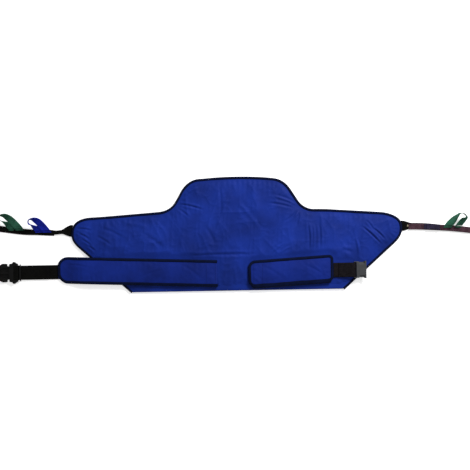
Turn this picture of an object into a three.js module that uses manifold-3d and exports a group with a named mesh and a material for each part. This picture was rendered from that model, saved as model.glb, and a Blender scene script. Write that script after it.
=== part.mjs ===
// A stand-assist gait belt sling, laid open on a flat surface with its padded face up.
// Millimetres, +Z up. The origin is the middle of its footprint, on the surface it lies on;
// +X runs along the sling towards the female buckle, +Y towards the hump of the back panel.
// Fabric sheets, padding and webbing are plain closed solids; the buckles are rigid mouldings.
import * as THREE from 'three';
import { mergeVertices } from 'three/addons/utils/BufferGeometryUtils.js';
import Module from 'manifold-3d';

const wasm = await Module();
wasm.setup();

// ---- Driving dimensions ----
const GAP = 0.3;               // clearance between neighbouring pieces
const SHEET = 0.8;             // coated nylon cover
const TAPE = 0.9;              // flange of the folded binding tape or hem
const TAPE_WALL = 1.2;         // the fold of the tape at the very edge
const WEB = 1.6;               // webbing thickness
const FAR = 2000;              // beyond the object in every direction

const PANEL_REACH = 578;       // middle of the panel to a wing tip
const PANEL_HALF_HEIGHT = 199;
const PANEL_FOAM = 5.4;
const BINDING_DEPTH = 11.5;    // width of the bound strip seen on each face
const HEM_DEPTH = 28;          // plain hem along the straight bottom edge
const FOLD_X = 250;            // the wings and belts fold up on these lines

const PAD_WIDTH = 90;
const PAD_FOAM = 4.0;
const BELT_WEB_WIDTH = 50;
const STRAP_WEB_WIDTH = 38;    // webbing inside the wings and at the tips
const RUN_WEB_WIDTH = 19;      // lift strap between the loops
const LOOP_WEB_WIDTH = 25;     // the coloured loops

const STRAP_END = 846;         // end of the black lift strap
const SLING_REACH = 930;       // end of the last loop

// ---- Solids ----
function solidFrom(geometry) {
  geometry.deleteAttribute('normal');
  geometry.deleteAttribute('uv');
  const merged = mergeVertices(geometry, 1e-4);
  return new wasm.Manifold(new wasm.Mesh({
    numProp: 3,
    vertProperties: new Float32Array(merged.attributes.position.array),
    triVerts: new Uint32Array(merged.index.array),
  }));
}

function block(x0, x1, y0, y1, z0, z1) {
  const geometry = new THREE.BoxGeometry(x1 - x0, y1 - y0, z1 - z0);
  geometry.translate((x0 + x1) / 2, (y0 + y1) / 2, (z0 + z1) / 2);
  return solidFrom(geometry);
}

// A flat plate: a closed loop of plan points between two heights.
function plate(loop, z0, z1) {
  const outline = new THREE.Shape(loop);
  const geometry = new THREE.ExtrudeGeometry(outline, { depth: z1 - z0, bevelEnabled: false });
  geometry.translate(0, 0, z0);
  return solidFrom(geometry);
}

// A closed loop moved inwards by a distance; the loop runs clockwise.
function insetLoop(loop, distance) {
  const count = loop.length;
  return loop.map((point, i) => {
    const before = new THREE.Vector2().subVectors(point, loop[(i + count - 1) % count]).normalize();
    const after = new THREE.Vector2().subVectors(loop[(i + 1) % count], point).normalize();
    const bisector = new THREE.Vector2().addVectors(before, after).normalize();
    const reach = distance / Math.max(0.5, bisector.dot(after));
    return new THREE.Vector2(point.x + bisector.y * reach, point.y - bisector.x * reach);
  });
}

// A solid swept through stations, each a rectangle of four corners in the same order.
function sweep(stations) {
  const positions = [];
  const quad = (a, b, c, d) => {
    for (const corner of [a, b, c, a, c, d]) positions.push(corner.x, corner.y, corner.z);
  };
  for (let i = 0; i + 1 < stations.length; i += 1) {
    for (let side = 0; side < 4; side += 1) {
      const next = (side + 1) % 4;
      quad(stations[i][side], stations[i][next], stations[i + 1][next], stations[i + 1][side]);
    }
  }
  const last = stations[stations.length - 1];
  quad(stations[0][3], stations[0][2], stations[0][1], stations[0][0]);
  quad(last[0], last[1], last[2], last[3]);
  const geometry = new THREE.BufferGeometry();
  geometry.setAttribute('position', new THREE.Float32BufferAttribute(positions, 3));
  const solid = solidFrom(geometry);
  return solid.volume() < 0 ? solidFrom(flipped(geometry)) : solid;
}

function flipped(geometry) {
  const source = geometry.attributes.position;
  const turned = new THREE.BufferGeometry();
  const positions = [];
  for (let i = 0; i < source.count; i += 3) {
    for (const corner of [i, i + 2, i + 1]) {
      positions.push(source.getX(corner), source.getY(corner), source.getZ(corner));
    }
  }
  turned.setAttribute('position', new THREE.Float32BufferAttribute(positions, 3));
  return turned;
}

// Flat webbing along a centre line; across(i) gives the direction of its width at each point.
function webbing(points, across, width, thickness = WEB) {
  const stations = points.map((point, i) => {
    const before = points[Math.max(0, i - 1)];
    const after = points[Math.min(points.length - 1, i + 1)];
    const along = new THREE.Vector3().subVectors(after, before).normalize();
    const side = across(i).clone().addScaledVector(along, -across(i).dot(along)).normalize();
    const face = new THREE.Vector3().crossVectors(side, along);
    const half = typeof width === 'function' ? width(point) / 2 : width / 2;
    return [[-1, -1], [1, -1], [1, 1], [-1, 1]].map(([s, f]) => point.clone()
      .addScaledVector(side, s * half).addScaledVector(face, f * thickness / 2));
  });
  return sweep(stations);
}

function fabric(colour) {
  return new THREE.MeshStandardMaterial({ color: colour, roughness: 0.85, metalness: 0 });
}

function moulding(colour) {
  return new THREE.MeshStandardMaterial({ color: colour, roughness: 0.45, metalness: 0 });
}

const material = {
  panel: fabric(0x1d358b),
  pad: fabric(0x192878),
  binding: fabric(0x080b24),
  foam: fabric(0xd8d2c0),
  webbing: fabric(0x0b0b09),
  maroon: fabric(0x4f2733),
  blue: fabric(0x1f2585),
  green: fabric(0x375347),
  black: moulding(0x111111),
  grey: moulding(0x4a4a4a),
};

const sling = new THREE.Group();

function add(name, solid, look) {
  const { vertProperties, triVerts } = solid.getMesh();
  const geometry = new THREE.BufferGeometry();
  geometry.setAttribute('position', new THREE.BufferAttribute(vertProperties, 3));
  geometry.setIndex(new THREE.BufferAttribute(triVerts, 1));
  geometry.computeVertexNormals();
  const mesh = new THREE.Mesh(geometry, look);
  mesh.name = name;
  sling.add(mesh);
}

// ---- Layers of a bound, padded piece, from its lowest face up ----
function layers(foam) {
  const cover = TAPE + GAP;
  const web = cover + SHEET + GAP;
  const padding = web + WEB + GAP;
  const front = padding + foam + GAP;
  const top = front + SHEET + GAP;
  return {
    lowTape: [0, TAPE],
    back: [cover, cover + SHEET],
    web: [web, web + WEB],
    foam: [padding, padding + foam],
    front: [front, front + SHEET],
    highTape: [top, top + TAPE],
    height: top + TAPE,
  };
}

const panelLayers = layers(PANEL_FOAM);
const padLayers = layers(PAD_FOAM);
const PAD_BASE = panelLayers.height + GAP;   // underside of a pad lying on the panel
const FLOOR_BASE = GAP;                      // underside of a pad lying on the floor

// ---- Back panel ----
// Right half of the outline, from the top of the hump down past the bottom edge.
function panelHalf() {
  const half = new THREE.Path();
  half.moveTo(0, PANEL_HALF_HEIGHT);
  half.quadraticCurveTo(80, PANEL_HALF_HEIGHT, 136, 191);
  half.quadraticCurveTo(172, 184, 194, 145.5);
  half.lineTo(212, 117.5);
  half.quadraticCurveTo(230, 84, 273, 80);
  half.lineTo(504, 64.3);
  half.bezierCurveTo(556, 60.7, PANEL_REACH, 42, PANEL_REACH, 12);
  half.bezierCurveTo(PANEL_REACH, -22, 556, -37, 533, -57.5);
  half.lineTo(333, -237.5);
  return half.getPoints(9);
}

// The whole outline, clockwise; its bottom edge lies below the real one, so that only
// the sides and the top move when it is inset.
function panelLoop(inset) {
  const right = panelHalf();
  const left = right.slice(1).reverse().map((point) => new THREE.Vector2(-point.x, point.y));
  return insetLoop([...right, ...left], inset);
}

function panelPlate(inset, bottom, [z0, z1]) {
  const kept = block(-FAR, FAR, -PANEL_HALF_HEIGHT + bottom, FAR, -FAR, FAR);
  return plate(panelLoop(inset), z0, z1).intersect(kept);
}

// Webbing that runs inside the panel from tip to tip and carries the lift.
const LOAD_Y = 15;

function loadWebbing(extra) {
  const half = STRAP_WEB_WIDTH / 2 + extra;
  const [z0, z1] = panelLayers.web;
  const reach = PANEL_REACH + extra;
  return block(-reach, reach, LOAD_Y - half, LOAD_Y + half, z0 - extra, z1 + extra);
}

function panelBinding() {
  const { height, lowTape, highTape } = panelLayers;
  const groove = [lowTape[1], highTape[0]];
  return panelPlate(0, 0, [0, height])
    .subtract(panelPlate(TAPE_WALL, -GAP, groove))
    .subtract(panelPlate(BINDING_DEPTH, -GAP, [-GAP, height + GAP]))
    .subtract(loadWebbing(GAP));
}

function panelHem() {
  const { height, lowTape, highTape } = panelLayers;
  return panelPlate(BINDING_DEPTH + GAP, 0, [0, height])
    .subtract(panelPlate(0, TAPE_WALL, [lowTape[1], highTape[0]]))
    .subtract(panelPlate(0, HEM_DEPTH, [-GAP, height + GAP]));
}

// The back cover lies on the surface; its rim rises to go between the binding's flanges.
function backCover() {
  const { back } = panelLayers;
  const inner = BINDING_DEPTH + 2 * GAP;
  return panelPlate(TAPE_WALL + GAP, TAPE_WALL + GAP, back)
    .add(panelPlate(inner, HEM_DEPTH + GAP, [0, back[1]]))
    .subtract(panelPlate(inner + SHEET, HEM_DEPTH + GAP + SHEET, [SHEET, back[1] + GAP]));
}

const sections = {
  left_wing: block(-FAR, -FOLD_X - GAP / 2, -FAR, FAR, -FAR, FAR),
  centre: block(-FOLD_X + GAP / 2, FOLD_X - GAP / 2, -FAR, FAR, -FAR, FAR),
  right_wing: block(FOLD_X + GAP / 2, FAR, -FAR, FAR, -FAR, FAR),
};

function addPanel() {
  const edge = TAPE_WALL + GAP;
  const pieces = [
    ['back_cover', backCover(), material.panel],
    ['load_webbing', loadWebbing(0), material.webbing],
    ['foam', panelPlate(edge + GAP, edge + GAP, panelLayers.foam), material.foam],
    ['front_cover', panelPlate(edge, edge, panelLayers.front), material.panel],
    ['binding', panelBinding(), material.binding],
    ['bottom_hem', panelHem(), material.panel],
  ];
  for (const [piece, solid, look] of pieces) {
    for (const [section, room] of Object.entries(sections)) {
      add(`${section}_${piece}`, solid.intersect(room), look);
    }
  }
}

// ---- Padded belt arms ----
// A pad runs from a square end, sewn flat to the panel, to a free end with round corners.
// outward is -1 for the left arm and +1 for the right one.
const arms = {
  left: {
    outward: -1,
    sewn: new THREE.Vector2(-70, -139),
    free: new THREE.Vector2(-625, -118),
    webY: -124,
    drapeFrom: 520,            // past the panel's slanting edge the arm comes down to the floor
    drapeTo: 602,
    drapeSteps: 10,
    sewnCorner: 0,
    freeCorner: 34,
  },
  right: {
    outward: 1,
    sewn: new THREE.Vector2(37, -143.6),
    free: new THREE.Vector2(334, -126),
    webY: -133,
    drapeFrom: 1000,
    drapeTo: 1100,
    drapeSteps: 0,
    sewnCorner: 24,
    freeCorner: 16,
  },
};

function armCentreY(arm, x) {
  const slope = (arm.free.y - arm.sewn.y) / (arm.free.x - arm.sewn.x);
  return arm.sewn.y + slope * (x - arm.sewn.x);
}

// Height of the arm's underside at a distance from the middle of the sling.
function armBase(arm, x) {
  const fall = THREE.MathUtils.smoothstep(Math.abs(x), arm.drapeFrom, arm.drapeTo);
  return THREE.MathUtils.lerp(PAD_BASE, FLOOR_BASE, fall);
}

// Plan stations of an arm: distance from the middle and half width, sewn end first.
// A square sewn end may overrun the piece, for cutting through it.
function armStations(arm, inset, overrun) {
  const half = PAD_WIDTH / 2 - inset;
  const sewn = Math.abs(arm.sewn.x);
  const freeRadius = arm.freeCorner - inset;
  const straightEnd = Math.abs(arm.free.x) - inset - freeRadius;
  const list = [];
  if (arm.sewnCorner) {
    const radius = arm.sewnCorner - inset;
    list.push(...cornerStations(sewn + inset + radius, -radius, half).reverse());
  } else {
    list.push([sewn - overrun, half]);
  }
  const drapeStart = Math.min(arm.drapeFrom, straightEnd);
  for (let i = 0; i < arm.drapeSteps; i += 1) {
    const along = THREE.MathUtils.lerp(drapeStart, straightEnd, i / arm.drapeSteps);
    list.push([along, half]);
  }
  list.push(...cornerStations(straightEnd, freeRadius, half));
  return list;
}

// Stations round two corners of a pad, from the straight part out to its end.
function cornerStations(straightEnd, radius, half) {
  const steps = 7;
  const list = [];
  for (let i = 0; i <= steps; i += 1) {
    const angle = (Math.PI / 2) * (i / steps);
    const narrowing = Math.abs(radius) * (1 - Math.cos(angle));
    list.push([straightEnd + radius * Math.sin(angle), half - narrowing]);
  }
  return list;
}

function armLayer(arm, inset, [low, high], overrun = 0) {
  const stations = armStations(arm, inset, overrun).map(([reach, half]) => {
    const x = arm.outward * reach;
    const y = armCentreY(arm, x);
    const base = armBase(arm, x);
    return [[-1, low], [1, low], [1, high], [-1, high]].map(([side, level]) => (
      new THREE.Vector3(x, y + side * half, base + level)));
  });
  return sweep(stations);
}

// The belt webbing sewn inside the arm, following it down to the free end.
function armWebbing(arm, extra) {
  const start = Math.abs(arm.sewn.x) + (arm.sewnCorner ? arm.sewnCorner : SHEET * 5);
  const end = Math.abs(arm.free.x) + extra;
  const [low, high] = padLayers.web;
  const half = BELT_WEB_WIDTH / 2 + extra;
  const shared = armStations(arm, 0, 0).map(([reach]) => reach).filter((reach) => reach > start + 1);
  const third = (shared[0] - start) / 3;
  const reaches = [start, start + third, start + 2 * third, ...shared.slice(0, -1), end];
  return sweep(reaches.map((reach) => {
    const x = arm.outward * reach;
    const share = (reach - start) / (end - start);
    const y = THREE.MathUtils.lerp(armCentreY(arm, x), arm.webY, share * share);
    const base = armBase(arm, x);
    return [[-1, low - extra], [1, low - extra], [1, high + extra], [-1, high + extra]]
      .map(([side, level]) => new THREE.Vector3(x, y + side * half, base + level));
  }));
}

function armBinding(arm) {
  const { height, lowTape, highTape } = padLayers;
  return armLayer(arm, 0, [0, height])
    .subtract(armLayer(arm, TAPE_WALL, [lowTape[1], highTape[0]], GAP))
    .subtract(armLayer(arm, BINDING_DEPTH, [-GAP, height + GAP], GAP))
    .subtract(armWebbing(arm, GAP));
}

function addArm(side) {
  const arm = arms[side];
  const edge = TAPE_WALL + GAP;
  const pieces = [
    ['back_cover', armLayer(arm, edge, padLayers.back), material.pad],
    ['webbing', armWebbing(arm, 0), material.webbing],
    ['foam', armLayer(arm, edge + GAP, padLayers.foam), material.foam],
    ['front_cover', armLayer(arm, edge, padLayers.front), material.pad],
  ];
  const outerRoom = side === 'left' ? sections.left_wing : sections.right_wing;
  for (const [piece, solid, look] of pieces) {
    add(`${side}_pad_inner_${piece}`, solid.intersect(sections.centre), look);
    add(`${side}_pad_outer_${piece}`, solid.intersect(outerRoom), look);
  }
  const binding = armBinding(arm);
  add(`${side}_pad_outer_binding`, binding.intersect(outerRoom), material.binding);
  const innerBinding = binding.intersect(sections.centre);
  if (arm.sewnCorner) {
    add(`${side}_pad_inner_binding`, innerBinding, material.binding);
  } else {
    const middle = armCentreY(arm, -FOLD_X);
    const above = block(-FAR, FAR, middle, FAR, -FAR, FAR);
    add(`${side}_pad_inner_upper_binding`, innerBinding.intersect(above), material.binding);
    add(`${side}_pad_inner_lower_binding`, innerBinding.subtract(above), material.binding);
  }
}

// ---- Webbing and buckles at the ends of the arms ----
// Side view of webbing: a path in X and Z, extruded across the belt.
function beltWebbing(path, centreY) {
  const points = path.map(([x, z]) => new THREE.Vector3(x, centreY, z));
  return webbing(points, () => new THREE.Vector3(0, 1, 0), BELT_WEB_WIDTH);
}

// Part of a circle in X and Z, angles in degrees from +X towards +Z.
function arcPath(x, z, radius, from, to, steps) {
  const points = [];
  for (let i = 0; i <= steps; i += 1) {
    const angle = THREE.MathUtils.degToRad(THREE.MathUtils.lerp(from, to, i / steps));
    points.push([x + radius * Math.cos(angle), z + radius * Math.sin(angle)]);
  }
  return points;
}

const MALE_REAR = -757;        // back edge of the male buckle
const MALE_FRONT = -797;       // where its prongs leave the frame
const MALE_BAR = -772.5;       // middle of the bar that the webbing turns around
const BAR_SLOT = 6.5;
const MALE_Y = arms.left.webY;
const MALE_Z = [1, 11.6];
const TONGUE = 1.2;            // plate between and under the prongs
const PRONG_Z = [2.5, 8.4];
const RUN_Z = FLOOR_BASE + padLayers.web[0] + WEB / 2;   // middle of the main run
const TAIL_Z = RUN_Z + WEB + GAP;
const TAIL_END = -658;

function leftMainRun() {
  return beltWebbing([[-625 - 2 * GAP, RUN_Z], [MALE_REAR + 4, RUN_Z]], MALE_Y);
}

// From under the buckle the webbing goes up through the front slot, over the bar, down
// through the rear slot and back as a free tail on top of the main run.
function leftTail() {
  const front = MALE_BAR - 3.5 - BAR_SLOT / 2;
  const rear = MALE_BAR + 3.5 + BAR_SLOT / 2;
  const overBar = 10.5;
  const bend = 2.0;
  return beltWebbing([
    [MALE_REAR + 4 - GAP, RUN_Z],
    ...arcPath(front + bend, RUN_Z + bend, bend, -90, -180, 5),
    ...arcPath(front + bend, overBar - bend, bend, 180, 90, 5),
    ...arcPath(rear - bend, overBar - bend, bend, 90, 0, 5),
    ...arcPath(rear + bend, TAIL_Z + bend, bend, 180, 270, 5),
    [TAIL_END, TAIL_Z],
  ], MALE_Y);
}

function mirroredLoop(points, centreY) {
  const upper = points.map(([x, y]) => new THREE.Vector2(x, centreY + y));
  const lower = points.slice().reverse().map(([x, y]) => new THREE.Vector2(x, centreY - y));
  return [...upper, ...lower];
}

function maleFrame() {
  const half = BELT_WEB_WIDTH / 2 + 1.2;
  const [low, high] = MALE_Z;
  const outline = mirroredLoop([
    [MALE_REAR, 29], [MALE_REAR - 14, 32.5], [MALE_REAR - 21, 38], [MALE_REAR - 26, 38.5],
    [MALE_REAR - 30, 33], [MALE_FRONT, 31],
  ], MALE_Y);
  const barHalf = 3.5;
  const frontSlot = [MALE_BAR - barHalf - BAR_SLOT, MALE_BAR - barHalf];
  const rearSlot = [MALE_BAR + barHalf, MALE_BAR + barHalf + BAR_SLOT];
  const [near, far] = [MALE_Y - half, MALE_Y + half];
  const barTop = 9.3;
  const webbingTop = TAIL_Z + WEB / 2 + GAP;
  const tongue = plate(mirroredLoop([
    [MALE_FRONT + 2, 22.5], [MALE_FRONT - 28, 22.5], [MALE_FRONT - 42, 14],
  ], MALE_Y), low, low + TONGUE);
  const guide = block(MALE_FRONT - 42, MALE_FRONT + 2, MALE_Y - 4, MALE_Y + 4, low, PRONG_Z[1] - GAP);
  return plate(outline, low, high)
    .subtract(block(...frontSlot, near, far, -FAR, FAR))
    .subtract(block(...rearSlot, near, far, -FAR, FAR))
    .subtract(block(frontSlot[0], MALE_REAR + 1, near, far, -FAR, webbingTop))
    .subtract(block(frontSlot[0], rearSlot[1], near, far, barTop, FAR))
    .add(tongue)
    .add(guide);
}

// A springy prong with its latch shoulder and its press pad; side is +1 or -1 along Y.
function prong(side) {
  const root = MALE_FRONT - GAP;
  const outline = [
    [root, 16], [root, 23], [root - 7, 24], [root - 7, 31], [root - 12, 32.5], [root - 24, 32.5],
    [root - 38, 25], [root - 47, 18], [root - 48, 12], [root - 40, 11], [root - 16, 18.5],
  ].map(([x, y]) => new THREE.Vector2(x, MALE_Y + side * y));
  return plate(outline, ...PRONG_Z);
}

const FEMALE_BAR_X = 408;
const FEMALE_REAR = 404;
const FEMALE_FRONT = 453;
const FEMALE_Y = arms.right.webY;
const FEMALE_Z = [PAD_BASE, PAD_BASE + 12.4];
const RIGHT_RUN_Z = PAD_BASE + padLayers.web[0] + WEB / 2;
const FEMALE_BAR_Z = RIGHT_RUN_Z + 3;
const FEMALE_BAR_RADIUS = 1.8;

// Out of the pad, around the buckle's bar and back, sewn down onto itself.
function rightWebbing() {
  const back = RIGHT_RUN_Z + WEB + GAP;
  return beltWebbing([
    [arms.right.free.x + 2 * GAP, RIGHT_RUN_Z],
    ...arcPath(FEMALE_BAR_X, FEMALE_BAR_Z, 3, -90, 90, 10),
    [FEMALE_BAR_X - 8, FEMALE_BAR_Z + 3],
    [FEMALE_BAR_X - 24, back],
    [352, back],
  ], FEMALE_Y);
}

function femaleBuckle() {
  const [low, high] = FEMALE_Z;
  const half = BELT_WEB_WIDTH / 2 + 1.2;
  const outline = mirroredLoop([
    [FEMALE_REAR, 26.5], [FEMALE_REAR + 2, 28.5], [FEMALE_REAR + 16, 28.5], [FEMALE_REAR + 22, 26.8],
    [FEMALE_REAR + 36, 26.8], [FEMALE_REAR + 43, 30], [FEMALE_FRONT, 30.5],
  ], FEMALE_Y);
  const bar = new THREE.CylinderGeometry(FEMALE_BAR_RADIUS, FEMALE_BAR_RADIUS, 2 * half + 2, 16);
  bar.translate(FEMALE_BAR_X, FEMALE_Y, FEMALE_BAR_Z);

  // The slot for the webbing, the socket for the other half, the windows its prongs snap into,
  // and the heel cut away so that the buckle can tilt.
  const wall = 2.4;
  const socketHalf = 23.5;
  const [floor, ceiling] = [low + wall, high - wall];
  const slotEnd = FEMALE_BAR_X + 5.4;
  const socketStart = FEMALE_REAR + 14;
  const socketFront = FEMALE_FRONT + 1;
  const heel = 1.4;
  return plate(outline, low, high)
    .subtract(block(FEMALE_REAR - 1, slotEnd, FEMALE_Y - half, FEMALE_Y + half, -FAR, FAR))
    .subtract(block(socketStart, socketFront, FEMALE_Y - socketHalf, FEMALE_Y + socketHalf, floor, ceiling))
    .subtract(block(FEMALE_REAR + 20, FEMALE_REAR + 38, -FAR, FAR, floor, ceiling))
    .subtract(block(FEMALE_REAR - 1, FEMALE_REAR + wall, -FAR, FAR, low - 1, low + heel))
    .add(solidFrom(bar));
}

// ---- Lift straps and loops ----
// Plan shape of each strap: the black webbing leaves the tip and bends gently upwards or downwards.
const strapY = {
  left: new THREE.SplineCurve([
    new THREE.Vector2(-578, 15), new THREE.Vector2(-640, 12), new THREE.Vector2(-745, 20),
    new THREE.Vector2(-830, 32), new THREE.Vector2(-SLING_REACH, 47),
  ]),
  right: new THREE.SplineCurve([
    new THREE.Vector2(578, 15), new THREE.Vector2(640, 14), new THREE.Vector2(745, 7),
    new THREE.Vector2(830, -3), new THREE.Vector2(SLING_REACH, -16),
  ]),
};

function strapPoint(side, reach) {
  const share = THREE.MathUtils.clamp((reach - PANEL_REACH) / (SLING_REACH - PANEL_REACH), 0, 1);
  const table = strapY[side].getPoints(88);
  const target = Math.sign(table[0].x) * (PANEL_REACH + share * (SLING_REACH - PANEL_REACH));
  const after = Math.max(1, table.findIndex((point) => Math.abs(point.x) >= Math.abs(target) - 1e-6));
  const a = table[after - 1];
  const b = table[after];
  return new THREE.Vector2(target, a.y + (b.y - a.y) * ((target - a.x) / (b.x - a.x)));
}

// Webbing lying along the strap, from one reach to another at a height, moved sideways by shift.
function alongStrap(side, from, to, height, shift, steps) {
  const points = [];
  for (let i = 0; i <= steps; i += 1) {
    const reach = THREE.MathUtils.lerp(from, to, i / steps);
    const plan = strapPoint(side, reach);
    points.push(new THREE.Vector3(plan.x, plan.y + shift, height(reach)));
  }
  return points;
}

const ACROSS = new THREE.Vector3(0, 1, 0);
const STRAP_Z = panelLayers.web[0] + WEB / 2;
const tipWidth = { left: STRAP_WEB_WIDTH, right: 26 };

function liftStrap(side) {
  const width = (point) => {
    const reach = Math.abs(point.x);
    const narrowing = THREE.MathUtils.smoothstep(reach, PANEL_REACH + 2, PANEL_REACH + 37);
    return THREE.MathUtils.lerp(tipWidth[side], RUN_WEB_WIDTH, narrowing);
  };
  const points = alongStrap(side, PANEL_REACH, STRAP_END, () => STRAP_Z, 0, 24);
  const indoors = PANEL_REACH + 2 * GAP;
  return webbing(points, () => ACROSS, width).subtract(block(-indoors, indoors, -FAR, FAR, -FAR, FAR));
}

// Maroon webbing sewn along the strap, under it on the left side and on top of it on the right.
const maroonRuns = {
  left: { start: 640, level: -1, shift: -2 },
  right: { start: 600, level: 1, shift: 0 },
};

function maroonRun(side) {
  const { start, level, shift } = maroonRuns[side];
  const z = STRAP_Z + level * (WEB + GAP);
  return webbing(alongStrap(side, start, STRAP_END, () => z, shift, 16), () => ACROSS, RUN_WEB_WIDTH);
}

// The end loop: out from the end of the strap, round and back above or below itself.
const END_LOOP_OPEN = 11;      // between the middles of its two layers

function endLoop(side) {
  const { level, shift } = maroonRuns[side];
  const root = STRAP_END + 4;
  const runZ = STRAP_Z + level * (WEB + GAP);
  const centre = Math.min(runZ, STRAP_Z) + END_LOOP_OPEN / 2;
  const far = SLING_REACH - END_LOOP_OPEN / 2 - WEB / 2;
  const half = level * END_LOOP_OPEN / 2;
  const swell = (reach) => THREE.MathUtils.smoothstep(reach, root, root + 42);
  const outward = (reach) => THREE.MathUtils.lerp(runZ, centre + half, swell(reach));
  const inward = (reach) => THREE.MathUtils.lerp(STRAP_Z, centre - half, swell(reach));
  const end = strapPoint(side, far);
  const points = alongStrap(side, root, far, outward, shift, 12);
  const steps = 8;
  for (let i = 1; i < steps; i += 1) {
    const angle = Math.PI * (i / steps);
    points.push(new THREE.Vector3(
      end.x + Math.sign(end.x) * (END_LOOP_OPEN / 2) * Math.sin(angle),
      end.y + shift,
      centre + half * Math.cos(angle),
    ));
  }
  points.push(...alongStrap(side, far, root, inward, shift, 12));
  return webbing(points, () => ACROSS, RUN_WEB_WIDTH);
}

// A loop that leans over the edge of the strap: one leg, a turn at the crest and the other leg.
// Each knot is a place and the direction of the webbing's width there.
function leaningLoop(knots, edgeY) {
  const places = knots.map(({ at }) => new THREE.Vector3(...at));
  const path = new THREE.CatmullRomCurve3(places, false, 'centripetal');
  const steps = 26;
  const points = [];
  const sides = [];
  for (let i = 0; i <= steps; i += 1) {
    const share = i / steps;
    const along = share * (knots.length - 1);
    const index = Math.min(knots.length - 2, Math.floor(along));
    points.push(path.getPoint(share));
    sides.push(new THREE.Vector3(...knots[index].across)
      .lerp(new THREE.Vector3(...knots[index + 1].across), along - index).normalize());
  }
  return webbing(points, (i) => sides[i], LOOP_WEB_WIDTH)
    .intersect(block(-FAR, FAR, edgeY, FAR, GAP, FAR));
}

const loopKnots = {
  left_blue_loop: [
    { at: [-655, 10, 5], across: [0.7, 0.7, 0] },
    { at: [-683, 30, 8], across: [0.7, 0.7, 0.05] },
    { at: [-707, 47, 15], across: [0.75, 0.62, 0.15] },
    { at: [-722, 52, 25], across: [0.8, 0.5, 0.3] },
    { at: [-727, 44, 31], across: [0.75, 0.35, 0.55] },
    { at: [-722, 26, 24], across: [0.55, 0.1, 0.83] },
    { at: [-715, 8, 16], across: [0.5, 0.0, 0.87] },
  ],
  left_green_loop: [
    { at: [-748, 17, 5], across: [0.68, 0.73, 0] },
    { at: [-775, 43, 8], across: [0.66, 0.75, 0.05] },
    { at: [-802, 64, 15], across: [0.6, 0.78, 0.15] },
    { at: [-824, 72, 24], across: [0.6, 0.7, 0.35] },
    { at: [-836, 66, 30], across: [0.6, 0.5, 0.6] },
    { at: [-832, 45, 24], across: [0.55, 0.2, 0.8] },
    { at: [-820, 20, 16], across: [0.5, 0.1, 0.85] },
  ],
  right_green_loop: [
    { at: [736, 5, 7.6], across: [-0.6, 0.8, 0] },
    { at: [756, 28, 10], across: [-0.6, 0.78, 0.1] },
    { at: [776, 46, 16], across: [-0.62, 0.7, 0.3] },
    { at: [792, 54, 27], across: [-0.7, 0.55, 0.45] },
    { at: [802, 48, 33], across: [-0.75, 0.5, 0.45] },
    { at: [797, 28, 24], across: [-0.8, 0.5, 0.35] },
    { at: [782, 5, 13], across: [-0.85, 0.5, 0.2] },
  ],
};

// A loop folded down flat along the top of its strap.
function flatLoop(side, from, to) {
  const low = STRAP_Z + 2 * (WEB + GAP) + GAP;
  const rise = 3.4;
  const turn = strapPoint(side, to);
  const points = [
    ...alongStrap(side, from, to, () => low, 0, 8),
    new THREE.Vector3(turn.x + Math.sign(turn.x) * rise / 2, turn.y, low + rise / 2),
    ...alongStrap(side, to, from + 8, () => low + rise, 0, 8),
  ];
  return webbing(points, () => ACROSS, RUN_WEB_WIDTH);
}

// The leaning loops start just inside the upper edge of their strap.
function loopEdge(side, reach) {
  return strapPoint(side, reach).y + RUN_WEB_WIDTH / 2 - 2;
}

function addStraps() {
  for (const side of ['left', 'right']) {
    add(`${side}_lift_strap`, liftStrap(side), material.webbing);
    add(`${side}_maroon_strap`, maroonRun(side), material.maroon);
    add(`${side}_end_loop`, endLoop(side), material.maroon);
  }
  add('left_blue_loop', leaningLoop(loopKnots.left_blue_loop, loopEdge('left', 668)), material.blue);
  add('left_green_loop', leaningLoop(loopKnots.left_green_loop, loopEdge('left', 762)), material.green);
  add('right_green_loop', leaningLoop(loopKnots.right_green_loop, loopEdge('right', 750)), material.green);
  add('right_blue_loop', flatLoop('right', 655, 706), material.blue);
}

addPanel();
addArm('left');
addArm('right');
add('left_webbing_run', leftMainRun(), material.webbing);
add('left_webbing_tail', leftTail(), material.webbing);
add('male_buckle_frame', maleFrame(), material.black);
add('upper_prong', prong(1), material.black);
add('lower_prong', prong(-1), material.black);
add('right_webbing', rightWebbing(), material.webbing);
add('female_buckle', femaleBuckle(), material.grey);
addStraps();

export default sling;
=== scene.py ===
import math
from math import cos, pi, sin

import bmesh
import bpy
import numpy as np
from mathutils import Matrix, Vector
from mathutils.kdtree import KDTree


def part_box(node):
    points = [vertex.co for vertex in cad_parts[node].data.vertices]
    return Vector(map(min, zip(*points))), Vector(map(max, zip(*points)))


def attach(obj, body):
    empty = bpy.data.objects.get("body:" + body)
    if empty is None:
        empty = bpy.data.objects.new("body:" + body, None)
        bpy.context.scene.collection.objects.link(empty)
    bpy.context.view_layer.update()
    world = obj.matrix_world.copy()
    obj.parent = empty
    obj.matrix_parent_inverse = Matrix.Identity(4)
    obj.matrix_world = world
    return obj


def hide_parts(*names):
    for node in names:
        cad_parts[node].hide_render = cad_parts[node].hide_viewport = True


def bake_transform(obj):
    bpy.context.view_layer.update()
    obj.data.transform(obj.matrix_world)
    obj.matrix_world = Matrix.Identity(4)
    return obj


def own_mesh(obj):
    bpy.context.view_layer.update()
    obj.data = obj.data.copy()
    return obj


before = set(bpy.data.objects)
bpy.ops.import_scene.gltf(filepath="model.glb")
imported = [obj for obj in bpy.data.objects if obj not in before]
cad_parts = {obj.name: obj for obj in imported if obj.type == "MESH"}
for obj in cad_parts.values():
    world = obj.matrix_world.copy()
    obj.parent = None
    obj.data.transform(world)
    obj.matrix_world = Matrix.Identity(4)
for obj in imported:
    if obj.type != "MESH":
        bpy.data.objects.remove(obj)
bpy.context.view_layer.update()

MM = 0.001
SIGN = {"left": -1, "right": 1}
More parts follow.
